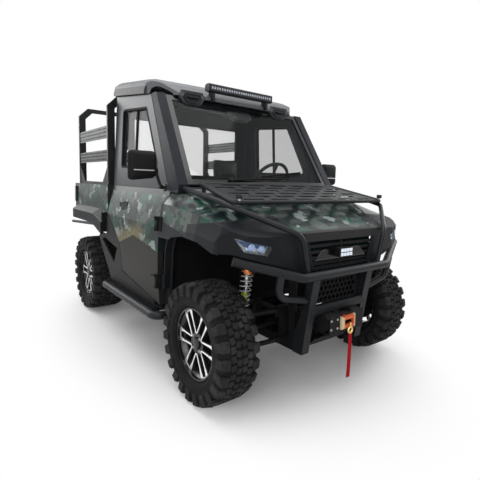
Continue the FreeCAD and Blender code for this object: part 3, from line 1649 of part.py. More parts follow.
# Build and write every piece

def build_wheels():
    for axle, axle_x, track, width in (("front", front_axle_x, front_track, front_tyre_width),
                                       ("rear", rear_axle_x, rear_track, rear_tyre_width)):
        wheel_rim = rim(width, track / 2)
        wheel_tyre = tyre(width, track / 2)
        place = vec(axle_x, 0, axle_height)
        wheel_rim.translate(place)
        wheel_tyre.translate(place)
        for side in ("right", "left"):
            flip = mirror if side == "right" else (lambda shape: shape)
            export("rim_" + axle + "_" + side, [flip(wheel_rim)])
            export("tyre_" + axle + "_" + side, [flip(wheel_tyre)])


def build_doors():
    shell = door_shell()
    glass = door_glass()
    head = door_mirror()
    for side in ("right", "left"):
        flip = mirror if side == "right" else (lambda shape: shape)
        export("door_" + side, [flip(shell)])
        export("door_glass_" + side, [flip(glass)])
        export("mirror_" + side, [flip(head)])


def build_suspension():
    steered = knuckle(front_axle_x, kingpin_offset, front_track / 2)
    export("knuckle_left", [steered])
    export("knuckle_right", [mirror(steered)])
    fixed = knuckle(rear_axle_x, rear_knuckle_offset, rear_track / 2)
    export("rear_hub_carriers", both_sides(fixed))
    arms = suspension_arms(front_axle_x, kingpin_offset) + suspension_arms(rear_axle_x, rear_knuckle_offset)
    export("suspension_arms", arms)
    shocks = both_sides(shock(front_axle_x, kingpin_offset, bulkhead_height - seat_gap))
    shocks += both_sides(shock(rear_axle_x, rear_knuckle_offset, upper_rail_height() - upper_rail_rise - seat_gap))
    export("shock_absorbers", shocks)
    inner = gearcase_half_width + seat_gap
    reach = joint_ball_radius + seat_gap
    shafts = both_sides(half_shaft(front_axle_x, inner, kingpin_offset - reach))
    shafts += both_sides(half_shaft(rear_axle_x, inner, rear_knuckle_offset - reach))
    export("half_shafts", shafts)


def build_all():
    os.makedirs("parts", exist_ok=True)
    export("chassis_frame", [chassis_frame()])
    export("skid_plate", [skid_plate()])
    export("cab_tub", [cab_tub()])
    export("seat_cushions", seat_cushions())
    export("seat_backs", seat_backs())
    export("dashboard", [dashboard()])
    export("steering_column", [steering_column()])
    export("steering_wheel", [steering_wheel()])
    export("cab_frame", [cab_frame()])
    export("roof_panel", [roof_panel()])
    export("light_bar", [light_bar()])
    export("cab_glass", [windscreen(), rear_window()])
    export("rear_panel", [rear_panel()])
    export("hood", [hood()])
    export("front_fenders", fenders())
    export("door_hinges", body_hinges())
    export("front_fascia", [fascia()])
    export("headlamps", headlamps())
    export("mesh_screens", mesh_screens())
    export("front_bumper", [front_bumper()])
    export("hood_rack", [hood_rack()])
    export("winch", [winch()])
    export("winch_fairlead", [winch_fairlead()])
    export("winch_hook", [winch_hook()])
    export("winch_strap", [winch_strap()])
    export("drive_line", drive_line())
    export("engine_block", [engine_block()])
    export("muffler", [muffler()])
    export("side_steps", side_steps())
    export("lower_panels", lower_panels())
    export("bed_tub", [bed_tub()])
    export("bed_cage", [bed_cage()])
    export("bed_flares", bed_flares())
    export("tail_lamps", tail_lamps())
    export("tailgate", [tailgate()])
    build_doors()
    build_suspension()
    build_wheels()


build_all()
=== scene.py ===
import bpy
import bmesh
import math
from contextlib import contextmanager
from mathutils import Matrix, Vector


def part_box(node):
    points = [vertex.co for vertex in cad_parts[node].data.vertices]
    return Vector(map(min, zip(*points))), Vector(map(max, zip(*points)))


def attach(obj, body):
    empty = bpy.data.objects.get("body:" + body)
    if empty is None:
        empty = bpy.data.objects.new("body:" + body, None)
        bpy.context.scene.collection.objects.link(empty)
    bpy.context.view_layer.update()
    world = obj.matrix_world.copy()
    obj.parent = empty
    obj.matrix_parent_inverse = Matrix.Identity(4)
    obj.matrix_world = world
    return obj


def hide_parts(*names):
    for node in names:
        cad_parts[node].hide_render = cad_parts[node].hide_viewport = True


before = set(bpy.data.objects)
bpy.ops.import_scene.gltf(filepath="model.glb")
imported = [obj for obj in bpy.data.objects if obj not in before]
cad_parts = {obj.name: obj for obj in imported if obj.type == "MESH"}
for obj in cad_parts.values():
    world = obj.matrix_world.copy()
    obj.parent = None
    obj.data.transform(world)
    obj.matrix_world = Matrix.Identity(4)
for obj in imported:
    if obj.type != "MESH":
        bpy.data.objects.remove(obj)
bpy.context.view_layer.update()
bpy.ops.object.select_all(action="DESELECT")
sides = {"right": -1, "left": 1}


def boxOf(node):
    # Middle and size of a node's box.
    pairs = list(zip(*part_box(node)))
    return [(low + high) / 2 for low, high in pairs], [high - low for low, high in pairs]


frontAxle, rearAxle = (boxOf("tyre_%s_right" % end)[0][0] for end in ("front", "rear"))
print("frame loaded")


# Camera, lights and floor

camera = {
    "ahead": 1.8809,  # of the front axle
    "side": -1.8215,
    "height": 1.2428,
    "yaw": 140.08,
    "pitch": -6.165,
    "roll": 1.680,
    "lens": 29.82,
    "shiftX": -0.0639,
    "shiftY": -0.0302,
}


def turned(degrees, axis="Y"):
    return Matrix.Rotation(math.radians(degrees), 4, axis)


def placeCamera():
    data = bpy.data.cameras.new("photoCamera")
    data.lens, data.sensor_width, data.clip_end = camera["lens"], 36, 100
    data.shift_x, data.shift_y = camera["shiftX"], camera["shiftY"]
    eye = bpy.data.objects.new("photoCamera", data)
    turn = turned(camera["yaw"] - 90, "Z") @ turned(90 + camera["pitch"], "X") @ turned(camera["roll"], "Z")
    eye.matrix_world = Matrix.Translation((frontAxle + camera["ahead"], camera["side"], camera["height"])) @ turn
    bpy.context.collection.objects.link(eye)
    bpy.context.scene.camera = eye


# Shader maths

class Socket:
    def __init__(self, shader, output):
        self.shader, self.output = shader, output

    def math(self, operation, *values):
        return self.shader.node("ShaderNodeMath", {"operation": operation}, *values)

    def __add__(self, other):
        return self.math("ADD", self, other)

    __radd__ = __add__

    def __sub__(self, other):
        return self.math("SUBTRACT", self, other)

    def __rsub__(self, other):
        return self.math("SUBTRACT", other, self)

    def __mul__(self, other):
        return self.math("MULTIPLY", self, other)

    def above(self, edge):
        return self.math("GREATER_THAN", self, edge)

    def below(self, edge):
        return self.math("LESS_THAN", self, edge)

    def both(self, other):
        return self.math("MINIMUM", self, other)

    def either(self, other):
        return self.math("MAXIMUM", self, other)

    def between(self, low, high):
        return self.shader.node("ShaderNodeMapRange", {"interpolation_type": "SMOOTHSTEP"}, self, low, high, 0, 1)


class Shader:
    def __init__(self, name, owner=None):
        self.owner = owner or bpy.data.materials.new(name)
        self.owner.use_nodes = True
        self.tree = self.owner.node_tree
        self.tree.nodes.clear()

    def feed(self, socket, value):
        if isinstance(value, Socket):
            self.tree.links.new(value.output, socket)
        elif hasattr(value, "__len__") and len(socket.default_value) > len(value):
            socket.default_value = (*value, 1)
        else:
            socket.default_value = value

    def node(self, kind, settings=None, *values, out=0, **named):
        node = self.tree.nodes.new(kind)
        for key, value in (settings or {}).items():
            setattr(node, key, value)
        for key, value in [*enumerate(values), *named.items()]:
            self.feed(node.inputs[key], value)
        return Socket(self, node.outputs[out])

    def ray(self, kind):
        return self.node("ShaderNodeLightPath", out="Is %s Ray" % kind)

    def place(self):
        return self.node("ShaderNodeTexCoord", out="Object")

    def axis(self, index):
        return self.node("ShaderNodeSeparateXYZ", None, self.place(), out=index)

    def stretch(self, scale, turn=(0, 0, 0), move=(0, 0, 0), vector=None):
        return self.node("ShaderNodeMapping", None, vector or self.place(), move, turn, scale)

    def noise(self, scale, detail=3, roughness=0.5, distortion=0.0, vector=None):
        return self.node("ShaderNodeTexNoise", None, Vector=vector or self.place(), Scale=scale, Detail=detail,
                         Roughness=roughness, Distortion=distortion)

    def cells(self, scale, feature="F1"):
        return self.node("ShaderNodeTexVoronoi", {"feature": feature}, Vector=self.place(), Scale=scale)

    def bands(self, direction, scale):
        return self.node("ShaderNodeTexWave", {"bands_direction": direction}, self.place(), scale, 0.0)

    def blend(self, first, second, factor):
        node = self.tree.nodes.new("ShaderNodeMix")
        node.data_type = "RGBA"
        for index, value in {0: factor, 6: first, 7: second}.items():
            self.feed(node.inputs[index], value)
        return Socket(self, node.outputs[2])

    def mottle(self, color, gain, lift, factor):
        return self.blend(color, [part * gain + lift for part in color], factor)

    def closed(self, socket, kind="Material"):
        output = self.tree.nodes.new("ShaderNodeOutput" + kind)
        self.feed(output.inputs[0], socket)
        return self.owner

    def surface(self, color, roughness, bump=None, bumpDistance=0.001, specular=0.5, bumpStrength=1.0, more=None):
        sockets = {"Base Color": color, "Roughness": roughness, "Specular IOR Level": specular, **(more or {})}
        if bump:
            sockets["Normal"] = self.node("ShaderNodeBump", None, Strength=bumpStrength, Distance=bumpDistance,
                                          Height=bump)
        return self.closed(self.node("ShaderNodeBsdfPrincipled", None, **sockets))


# Finishes

def powderCoat(shader, color, roughness):
    dust = shader.noise(6, 5, 0.6)
    tone = shader.mottle(color, 1.35, 0.002, dust.between(0.45, 0.8))
    return shader.surface(tone, roughness + dust * 0.12, shader.noise(900, 2, 0.6), 0.0004, 0.22)


def mouldedPlastic(shader, color, roughness):
    wear = shader.noise(3.5, 5, 0.6)
    tone = shader.mottle(color, 1.25, 0.003, wear.between(0.4, 0.75))
    return shader.surface(tone, roughness + wear * 0.1, shader.cells(700), 0.0003, 0.12)


camoColours = {
    "ground": (0.010, 0.019, 0.018),
    "leaf": (0.010, 0.052, 0.036),
    "moss": (0.055, 0.075, 0.064),
    "mist": (0.21, 0.26, 0.25),
    "night": (0.009, 0.012, 0.015),
    "sand": (0.17, 0.14, 0.066),
    "block": 0.014,  # step of the ragged edges
    "patches": (  # colour, size, threshold, offset
        ("leaf", 7, 0.50, (9, 4, 2)),
        ("moss", 9, 0.56, (3, 1, 7)),
        ("night", 12, 0.58, (1, 8, 5)),
        ("mist", 9, 0.625, (6, 6, 1)),
    ),
}


def camoPattern(shader):
    place = shader.place()
    wobble = shader.node("ShaderNodeTexNoise", None, Vector=place, Scale=9.0, Detail=2.0, out=1)
    bent = shader.node("ShaderNodeVectorMath", {"operation": "MULTIPLY_ADD"}, wobble, (0.05, 0.05, 0.05), place)
    bent = shader.node("ShaderNodeVectorMath", {"operation": "SNAP"}, bent, [camoColours["block"]] * 3)
    tone = camoColours["ground"]
    for colour, size, low, move in camoColours["patches"]:
        spots = shader.noise(size, 1.5, 0.45, 0.4, shader.stretch((1, 1, 1.25), (0, 0.35, 0), move, bent))
        tone = shader.blend(tone, camoColours[colour], spots.between(low, low + 0.012))
    return tone


def clear(weight, roughness):
    return {"Coat Weight": weight, "Coat Roughness": roughness}


def camoFilm(shader, lipHeight, sideWall=0.0, rearWall=0.0):
    # Film above a height, or only on the outer skin of the bed.
    film = shader.axis(2).above(lipHeight)
    if sideWall:
        y = shader.axis(1)
        film = film.both(shader.axis(0).below(rearWall).either((y * y).above(sideWall ** 2)))
    tone = shader.blend((0.018, 0.018, 0.019), camoPattern(shader), film)
    return shader.surface(tone, 0.5 - film * 0.14, shader.noise(2.5, 2, 0.5), 0.002, 0.2, 0.3, clear(film * 0.22, 0.1))


doorLook = {
    "apexX": -0.926,  # from the front axle
    "apexZ": 0.84,
    "frontSlope": -0.148,
    "rearSlope": 0.319,
    "beltZ": 1.18,
    "lower": (0.020, 0.0188, 0.0168),
    "frameTone": (0.032, 0.035, 0.04),
    "beltBand": (0.03, 0.031, 0.033),
}


def doorPaint(shader):
    x, z = shader.axis(0) - (frontAxle + doorLook["apexX"]), shader.axis(2)
    line = (x * doorLook["frontSlope"]).both(x * doorLook["rearSlope"]) + doorLook["apexZ"]
    film = z.above(line)
    sandy = (0.30 - (z - line)).between(0.16, 0.3).both((x * -1).between(-0.28, -0.02))
    speckle = shader.noise(22, 3, 0.6).between(0.4, 0.6)
    camo = shader.blend(camoPattern(shader), camoColours["sand"], sandy * (0.55 + speckle * 0.45))
    tone = shader.blend(doorLook["lower"], camo, film)
    tone = shader.blend(tone, doorLook["beltBand"], z.above(doorLook["beltZ"] - 0.035))
    tone = shader.blend(tone, doorLook["frameTone"], z.above(doorLook["beltZ"] + 0.012))
    grain = shader.noise(650, 2, 0.6) * (1 - film)
    return shader.surface(tone, 0.5 - film * 0.1, grain, 0.0003, 0.18, more=clear(film * 0.07, 0.14))


fenderLook = {
    "frontX": 0.19,  # from the front axle
    "stepX": -0.10,
    "rearX": -0.43,
    "stepLowZ": 0.934,
    "stepHighZ": 1.0,
    "fall": -0.16,
    "rise": 0.13,
    "charcoal": (0.0075, 0.0085, 0.0105),
}


def fenderPaint(shader):
    x, z = shader.axis(0) - frontAxle, shader.axis(2)
    past = x - fenderLook["stepX"]
    ahead = x.above(fenderLook["stepX"])
    low = ((past * fenderLook["fall"] + fenderLook["stepLowZ"]) * (1 - ahead)
           + (past * fenderLook["rise"] + fenderLook["stepHighZ"]) * ahead)
    tip = fenderLook["frontX"] - (1.1 - z) * 0.6
    film = z.above(low).both(x.above(fenderLook["rearX"])).both(x.below(tip))
    tone = shader.blend(fenderLook["charcoal"], camoPattern(shader), film)
    grain = shader.noise(650, 2, 0.6) * (1 - film)
    return shader.surface(tone, 0.52 - film * 0.2, grain, 0.0003, 0.2, more=clear(film * 0.22, 0.08))


roofLook = {
    "doorFrontX": 0.231,
    "edgeZ": 1.884,  # top of the dark band at the front of the door: the door seal and the painted shade of the recessed strip
    "slope": 0.117,
    "half": 0.672,
    # below this height the roof's front lip over the windscreen is painted dark as shade
    "visorZ": 1.822,
}


def roofPlastic(shader):
    x, y, z = (shader.axis(index) for index in range(3))
    edge = (x * -1 + roofLook["doorFrontX"]).either(0) * roofLook["slope"] + roofLook["edgeZ"]
    visor = z.below(roofLook["visorZ"]).both(x.above(roofLook["doorFrontX"] - 0.05))
    # Painted shade: a near-black band low on each side edge, where the recessed strip above the door seal lies in
    # shadow, and on the front lip below visorZ; the seal in that band is real black rubber
    sealAndShade = z.below(edge).both((y * y).above(roofLook["half"] ** 2)).either(visor)
    tone = shader.blend((0.092, 0.096, 0.104), (0.125, 0.13, 0.138), shader.noise(4, 4, 0.6))
    tone = shader.blend(tone, (0.012, 0.012, 0.013), sealAndShade)
    return shader.surface(tone, 0.5, shader.noise(600, 2, 0.6), 0.0003, 0.3)


# lift scales the rubber's tone: the tread blocks use a lighter copy of the carcass rubber, a painted highlight on their
# tops
def tyreRubber(shader, lift):
    fine = shader.noise(260, 3, 0.6)
    tone = shader.blend([0.007 * lift] * 3, [0.019 * lift] * 3, shader.noise(9, 6, 0.65).between(0.42, 0.72))
    return shader.surface(tone, 0.72 + fine * 0.15, fine, 0.0006, 0.15)


def clearGlass(shader, tint, least, most):
    alpha = shader.node("ShaderNodeFresnel", None, 1.45) * (most - least) + least
    return shader.surface(tint, 0.03, more={"Alpha": alpha})


def metal(shader, color, roughness):
    brush = shader.noise(90, 4, 0.6, 0, shader.stretch((1, 8, 1)))
    return shader.surface(color, roughness + brush * 0.15, brush, 0.0002, more={"Metallic": 1.0})


def vinyl(shader, color):
    tone = shader.mottle(color, 1.8, 0, shader.noise(5, 4, 0.6))
    return shader.surface(tone, 0.5, shader.cells(420, "DISTANCE_TO_EDGE"), 0.0004, 0.25)


def glossPaint(shader, color, roughness):
    flow = shader.noise(30, 3, 0.5)
    return shader.surface(shader.mottle(color, 0.75, 0, flow), roughness + flow * 0.08, flow, 0.0003)


def webbing(shader, color):
    weave = shader.bands("Z", 95)
    return shader.surface(shader.mottle(color, 0.55, 0, weave), 0.8, weave + shader.bands("Y", 130), 0.0006, 0.1)


def radiatorPaint(shader):
    tone = shader.blend((0.004, 0.004, 0.0045), (0.012, 0.030, 0.030), shader.axis(2).between(0.84, 0.86))
    return shader.surface(tone, 0.6, shader.noise(300, 2, 0.6), 0.0004, 0.2)


def ledFace(shader, color, glow):
    facets = shader.cells(260)
    light = {"Emission Color": color, "Emission Strength": glow}
    return shader.surface(shader.mottle(color, 0.8, 0, facets), 0.12, facets, 0.0006, more=light)


def fairleadPaint(shader):
    y, wear = shader.axis(1), shader.noise(40, 4, 0.6)
    tone = shader.blend((0.60, 0.10, 0.015), (0.60, 0.48, 0.30), (y * y).above(0.043 ** 2))
    return shader.surface(tone, 0.4 + wear * 0.15, wear, 0.0003)


def rearLamp(shader):
    face = shader.axis(0).below(-1.4285)
    tone = shader.blend((0.012, 0.012, 0.012), (0.26, 0.008, 0.01), face)
    return shader.surface(tone, 0.15, shader.bands("Z", 60) * face, 0.0008, more={"Coat Weight": 0.3})


makers = {
    powderCoat: {
        "coat": ((0.0095, 0.0105, 0.0125), 0.38),
        "frameBlack": ((0.004, 0.004, 0.0045), 0.6),
        "iron": ((0.05, 0.05, 0.052), 0.6),
    },
    mouldedPlastic: {
        "plastic": ((0.007, 0.007, 0.0075), 0.55),
        "charcoal": (fenderLook["charcoal"], 0.42),
        "pillar": ((0.0085, 0.0105, 0.0145), 0.42),
        "roofEdge": ((0.055, 0.057, 0.062), 0.45),
        "lowerPanel": ((0.019, 0.019, 0.019), 0.48),
        "rubber": ((0.007, 0.007, 0.007), 0.7),
        "tub": ((0.006, 0.006, 0.0065), 0.7),
    },
    glossPaint: {
        "glossBlack": ((0.006, 0.006, 0.007), 0.12),
        "rimBlack": ((0.012, 0.012, 0.013), 0.22),
        "redLens": ((0.28, 0.008, 0.01), 0.12),
        "lime": ((0.42, 0.5, 0.03), 0.35),
        "coilWhite": ((0.72, 0.72, 0.68), 0.3),
    },
    metal: {
        "alloy": ((0.97, 0.97, 0.97), 0.3),
        "steel": ((0.45, 0.45, 0.46), 0.35),
        "gold": ((0.72, 0.5, 0.2), 0.3),
        "copper": ((0.75, 0.28, 0.12), 0.3),
        "chrome": ((0.85, 0.88, 0.92), 0.08),
        "reflector": ((0.34, 0.36, 0.38), 0.32),
        "lampBowl": ((0.035, 0.06, 0.14), 0.2),
    },
    ledFace: {
        "ledCell": ((0.78, 0.84, 0.92), 0.25),
        "barCell": ((0.42, 0.45, 0.50), 0.08),
        # the projectors' glow is a painted highlight standing in for the glassy shine of the lens
        "projector": ((0.34, 0.48, 0.78), 0.14),
    },
    clearGlass: {"glass": ((0.02, 0.024, 0.025), 0.025, 0.3), "lampGlass": ((0.5, 0.55, 0.6), 0.06, 0.5)},
    camoFilm: {"camo": (0.0, 0.736, -1.468), "hood": (0.984,)},  # the first is the bed's outer skin
    # tread is the tyre's own rubber painted 2.3 times lighter, a painted highlight on the block tops
    tyreRubber: {"tyre": (1.0,), "tread": (2.3,)},
    vinyl: {"vinyl": ((0.009, 0.009, 0.0095),)},
    webbing: {"webbing": ((0.5, 0.008, 0.016),)},
    doorPaint: {"door": ()},
    fenderPaint: {"fender": ()},
    roofPlastic: {"roof": ()},
    radiatorPaint: {"radiator": ()},
    fairleadPaint: {"fairlead": ()},
    rearLamp: {"rearLamp": ()},
}
finish = {name: make(Shader(name + "Finish"), *values)
          for make, rows in makers.items() for name, values in rows.items()}
print("materials made")

nodeFinish = {  # nodes without their ends and sides
    "frameBlack": "chassis_frame skid_plate mesh_screens winch suspension_arms half_shafts",
    "tub": "cab_tub",
    "plastic": "dashboard steering_column rear_panel door_hinges mirror",
    "vinyl": "steering_wheel seat_cushions seat_backs",
    "pillar": "cab_frame",
    "roof": "roof_panel",
    "coat": "light_bar front_bumper hood_rack side_steps bed_cage",
    "glass": "cab_glass door_glass",
    "hood": "hood",
    "fender": "front_fenders",
    "charcoal": "front_fascia bed_flares",
    "lampGlass": "headlamps",
    "fairlead": "winch_fairlead",
    "gold": "winch_hook",
    "webbing": "winch_strap",
    "iron": "drive_line engine_block rear_hub_carriers knuckle",
    "steel": "muffler shock_absorbers",
    "lowerPanel": "lower_panels",
    "camo": "bed_tub tailgate",
    "rearLamp": "tail_lamps",
    "door": "door",
    "rimBlack": "rim",
    "tyre": "tyre",
}


def dressNodes():
    finishOf = {node: key for key, nodes in nodeFinish.items() for node in nodes.split()}
    for name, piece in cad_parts.items():
        for ending in ("_left", "_right", "_front", "_rear"):
            name = name.removesuffix(ending)
        material = finish[finishOf[name]]
        if not piece.material_slots:
            piece.data.materials.append(material)
        for slot in piece.material_slots:
            slot.material = material


studio = {
    "sky": 0.38,  # strength of the white sky where only its light is met
    "lamps": {  # place, target, size, power
        "overhead": ((0.3, -0.6, 4.6), (0.3, 0, 0), 6.0, 175),
        "frontRight": ((4.6, -4.4, 2.9), (0.3, 0, 0.9), 3.6, 105),
        "left": ((1.5, 5.2, 3.2), (0, 0, 0.9), 3.0, 90),
        "rear": ((-5.0, -2.0, 3.0), (-0.5, 0, 1.0), 3.0, 90),
    },
    "floorFade": (0.85, 1.4),  # distance over which the floor goes white
    "floorLeast": 0.07,
}


def lightStudio():
    world = bpy.data.worlds.new("studio")
    bpy.context.scene.world = world
    shader = Shader("studio", world)
    seen = shader.ray("Camera").either(shader.ray("Transmission")).either(shader.ray("Glossy"))
    soft, white = (shader.node("ShaderNodeBackground", None, (1, 1, 1), power) for power in (studio["sky"], 1.0))
    shader.closed(shader.node("ShaderNodeMixShader", None, seen, soft, white), "World")
    for name, (place, target, size, power) in studio["lamps"].items():
        data = bpy.data.lights.new(name, "AREA")
        data.shape, data.size, data.energy = "DISK", size, power
        lamp = bpy.data.objects.new(name, data)
        lamp.location = place
        lamp.rotation_euler = (Vector(target) - Vector(place)).to_track_quat("-Z", "Y").to_euler()
        bpy.context.collection.objects.link(lamp)


def layFloor():
    bpy.ops.mesh.primitive_plane_add(size=60, location=(0, 0, 0))
    floor = bpy.context.object
    floor.name = "studioFloor"
    shader = Shader("floorWhite")
    least = studio["floorLeast"]
    away = shader.node("ShaderNodeVectorMath", {"operation": "LENGTH"}, shader.stretch((0.6, 1, 1)), out=1)
    share = shader.ray("Camera") * (away.between(*studio["floorFade"]) * (1 - least) + least)
    matte = shader.node("ShaderNodeBsdfDiffuse", None, (0.9, 0.9, 0.9))
    glow = shader.node("ShaderNodeEmission", None, (1, 1, 1))
    floor.data.materials.append(shader.closed(shader.node("ShaderNodeMixShader", None, share, matte, glow)))
    floor.select_set(False)


placeCamera()
lightStudio()
layFloor()
dressNodes()
bpy.context.scene.view_settings.view_transform = "Standard"
print("camera, lights and floor placed")


# Shared ways of making pieces

def deselect():
    bpy.ops.object.select_all(action="DESELECT")


def pick(piece):
    deselect()
    piece.select_set(True)
    bpy.context.view_layer.objects.active = piece


def selectAll():
    bpy.ops.mesh.select_all(action="SELECT")


@contextmanager
def editing():
    bpy.ops.object.mode_set(mode="EDIT")
    selectAll()
    yield
    bpy.ops.object.mode_set(mode="OBJECT")


def smooth(degrees):
    bpy.ops.object.shade_smooth_by_angle(angle=math.radians(degrees))


def applied(piece, kind, **settings):
    modifier = piece.modifiers.new(kind.lower(), kind)
    for key, value in settings.items():
        setattr(modifier, key, value)
    bpy.ops.object.modifier_apply(modifier=modifier.name)


def painted(piece, material):
    piece.data.materials.clear()
    piece.data.materials.append(finish[material])


def settle(piece, name, material):
    bpy.ops.object.transform_apply(location=True, rotation=True, scale=True)
    piece.name = name
    if material:
        painted(piece, material)
    deselect()
    return piece


def block(name, low, high, material, bevel=0.0, segments=1):
    bpy.ops.mesh.primitive_cube_add(size=1, location=[(a + b) / 2 for a, b in zip(low, high)])
    piece = bpy.context.object
    piece.scale = [abs(b - a) for a, b in zip(low, high)]
    bpy.ops.object.transform_apply(location=True, rotation=True, scale=True)
    if bevel:
        with editing():
            bpy.ops.mesh.bevel(offset=bevel, segments=segments)
    return settle(piece, name, material)


def rod(name, start, end, radius, material, edges=20, bevel=0.0):
    start, end = Vector(start), Vector(end)
    run = end - start
    bpy.ops.mesh.primitive_cylinder_add(vertices=edges, radius=radius, depth=run.length, location=(start + end) / 2,
                                        rotation=run.to_track_quat("Z", "Y").to_euler())
    if bevel:
        with editing():
            bpy.ops.mesh.bevel(offset=bevel, segments=2)
    smooth(40)
    return settle(bpy.context.object, name, material)


def spun(name, profile, steps, material, centre=(0, 0, 0)):
    bpy.ops.mesh.primitive_circle_add(vertices=len(profile), radius=1)
    piece = bpy.context.object
    for vertex, (radius, y) in zip(piece.data.vertices, profile):
        vertex.co = (radius, y, 0)
    with editing():
        bpy.ops.mesh.spin(steps=steps, angle=math.tau, center=(0, 0, 0), axis=(0, 1, 0))
        selectAll()
        bpy.ops.mesh.remove_doubles(threshold=0.00005)
        bpy.ops.mesh.normals_make_consistent(inside=False)
    piece.data.transform(Matrix.Translation(centre))
    smooth(35)
    return settle(piece, name, material)


def ngon(corners):
    bpy.ops.mesh.primitive_circle_add(vertices=len(corners), radius=1, fill_type="NGON")
    piece = bpy.context.object
    for vertex, corner in zip(piece.data.vertices, corners):
        vertex.co = corner
    return piece


def plate(name, corners, thickness, material, rim, rimDepth):
    # Flat plate on given corners, thickened inwards, with an inset rim.
    piece = ngon(corners)
    with editing():
        bpy.ops.mesh.inset(thickness=rim, depth=-rimDepth)
    applied(piece, "SOLIDIFY", thickness=thickness, offset=-1)
    return settle(piece, name, material)


def joined(name, pieces):
    pick(pieces[0])
    for piece in pieces:
        piece.select_set(True)
    bpy.ops.object.join()
    pieces[0].name = name
    deselect()
    return pieces[0]


def copyOf(piece, matrix):
    twin = piece.copy()
    twin.data = piece.data.copy()
    twin.data.transform(matrix)
    bpy.context.collection.objects.link(twin)
    return twin


def mirrored(piece):
    piece.data.transform(Matrix.Scale(-1, 4, (0, 1, 0)))
    piece.data.flip_normals()


def about(centre, matrix):
    return Matrix.Translation(centre) @ matrix @ Matrix.Translation(-Vector(centre))


def aimed(start, run, axis="Z", up="Y"):
    return Matrix.Translation(start) @ run.to_track_quat(axis, up).to_matrix().to_4x4()


def inPlane(start, run):
    # Turns a piece that stands on z into the plane of x and z.
    return Matrix.Translation(start) @ Matrix.Rotation(math.atan2(run.x, run.z), 4, "Y")


def shares(low, high, count, offset=0.5):
    return [low + (high - low) * (index + offset) / count for index in range(count)]


def carried(piece, slot="plastic_black", body="chassis", replaced=None):
    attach(piece, body)
    if replaced:
        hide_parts(replaced)


def fitted(name, pieces, *place):
    carried(joined(name, pieces), *place)


# Ways of working from the frame's own meshes

def nodeCopy(node, name, keep=None):
    deselect()
    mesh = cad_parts[node].data.copy()
    mesh.materials.clear()
    work = bmesh.new()
    work.from_mesh(mesh)
    bmesh.ops.remove_doubles(work, verts=work.verts, dist=0.00005)
    if keep:
        gone = [face for face in work.faces if not keep(face.calc_center_median(), face.normal)]
        bmesh.ops.delete(work, geom=gone, context="FACES")
    bmesh.ops.dissolve_limit(work, angle_limit=0.01, verts=work.verts, edges=work.edges)
    work.to_mesh(mesh)
    work.free()
    piece = bpy.data.objects.new(name, mesh)
    bpy.context.collection.objects.link(piece)
    return piece


def skinAt(node, start, heading):
    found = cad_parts[node].ray_cast(Vector(start), Vector(heading))
    return found[1] if found[0] else Vector(start)


# Pull strap on the winch hook

strapRun = {
    "turns": ((0, 0, 0.3727), (0.001, 0.002, 0.33), (-0.001, 0.004, 0.26), (0.001, 0.001, 0.18), (0, -0.002, 0.106)),
    "folds": 24,
}


def routeLine(points):
    route = bpy.data.curves.new("strapRoute", "CURVE")
    route.dimensions = "3D"
    spline = route.splines.new("NURBS")
    spline.points.add(len(points) - 1)
    for place, point in zip(spline.points, points):
        place.co = (*point, 1)
    spline.order_u, spline.use_endpoint_u, spline.resolution_u = 3, True, 8
    holder = bpy.data.objects.new("strapRoute", route)
    bpy.context.collection.objects.link(holder)
    bpy.context.view_layer.update()
    found = [vertex.co.copy() for vertex in bpy.data.meshes.new_from_object(holder).vertices]
    bpy.data.objects.remove(holder)
    return found


def pullStrap():
    low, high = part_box("winch_strap")
    (x, _, _), (_, width, length) = boxOf("winch_strap")
    line = routeLine([(x + dx, dy, z) for dx, dy, z in strapRun["turns"]])
    strap = block("pullStrap", (low[0], -width / 2, low[2]), (high[0], width / 2, high[2]), None)
    pick(strap)
    with editing():
        bpy.ops.mesh.bevel(offset=0.0012, segments=2)
        for step in range(1, strapRun["folds"]):
            selectAll()
            z = low[2] + length * step / strapRun["folds"]
            bpy.ops.mesh.bisect(plane_co=(x, 0, z), plane_no=(0, 0, 1))
    for vertex in strap.data.vertices:
        near = min(line, key=lambda point: abs(point.z - vertex.co.z))
        vertex.co.x += near.x - x
        vertex.co.y += near.y
    painted(strap, "webbing")
    carried(strap, "webbing_red", "chassis", "winch_strap")
    deselect()


pullStrap()
print("strap hung")


# Tyres and wheels

tyreForm = {
    "pitches": 23,
    "rows": (  # share of the half width, length round, width share, turn, top radius, lean
        (0.15, 0.033, 0.25, 16, 0.3415, 0),
        (0.44, 0.034, 0.26, -14, 0.3410, 3),
        (0.79, 0.056, 0.38, 5, 0.3365, 15),
    ),
    "shoulder": (0.97, 0.046, 0.064, 0.306),
    "block": (0.018, 0.0035),  # height and bevel
    "profile": ((0.2035, 0.70), (0.210, 0.86), (0.222, 0.93), (0.226, 0.955), (0.232, 0.95), (0.262, 0.975),
                (0.288, 0.97), (0.312, 0.90), (0.324, 0.78), (0.3295, 0.45), (0.330, 0.0)),
    "bead": (0.196, 0.55),
}


def treadBlock(centre, half, row, side, degrees):
    share, length, width, turn, top, lean = row
    height, bevel = tyreForm["block"]
    corner = Vector((length / 2, width * half / 2, height / 2))
    piece = block("treadBlock", -corner, corner, None, bevel)
    spot = Matrix.Translation((0, side * share * half, top - height / 2))
    piece.data.transform(spot @ turned(-lean * side, "X") @ turned(turn * side, "Z"))
    piece.data.transform(Matrix.Translation(centre) @ turned(degrees))
    return piece


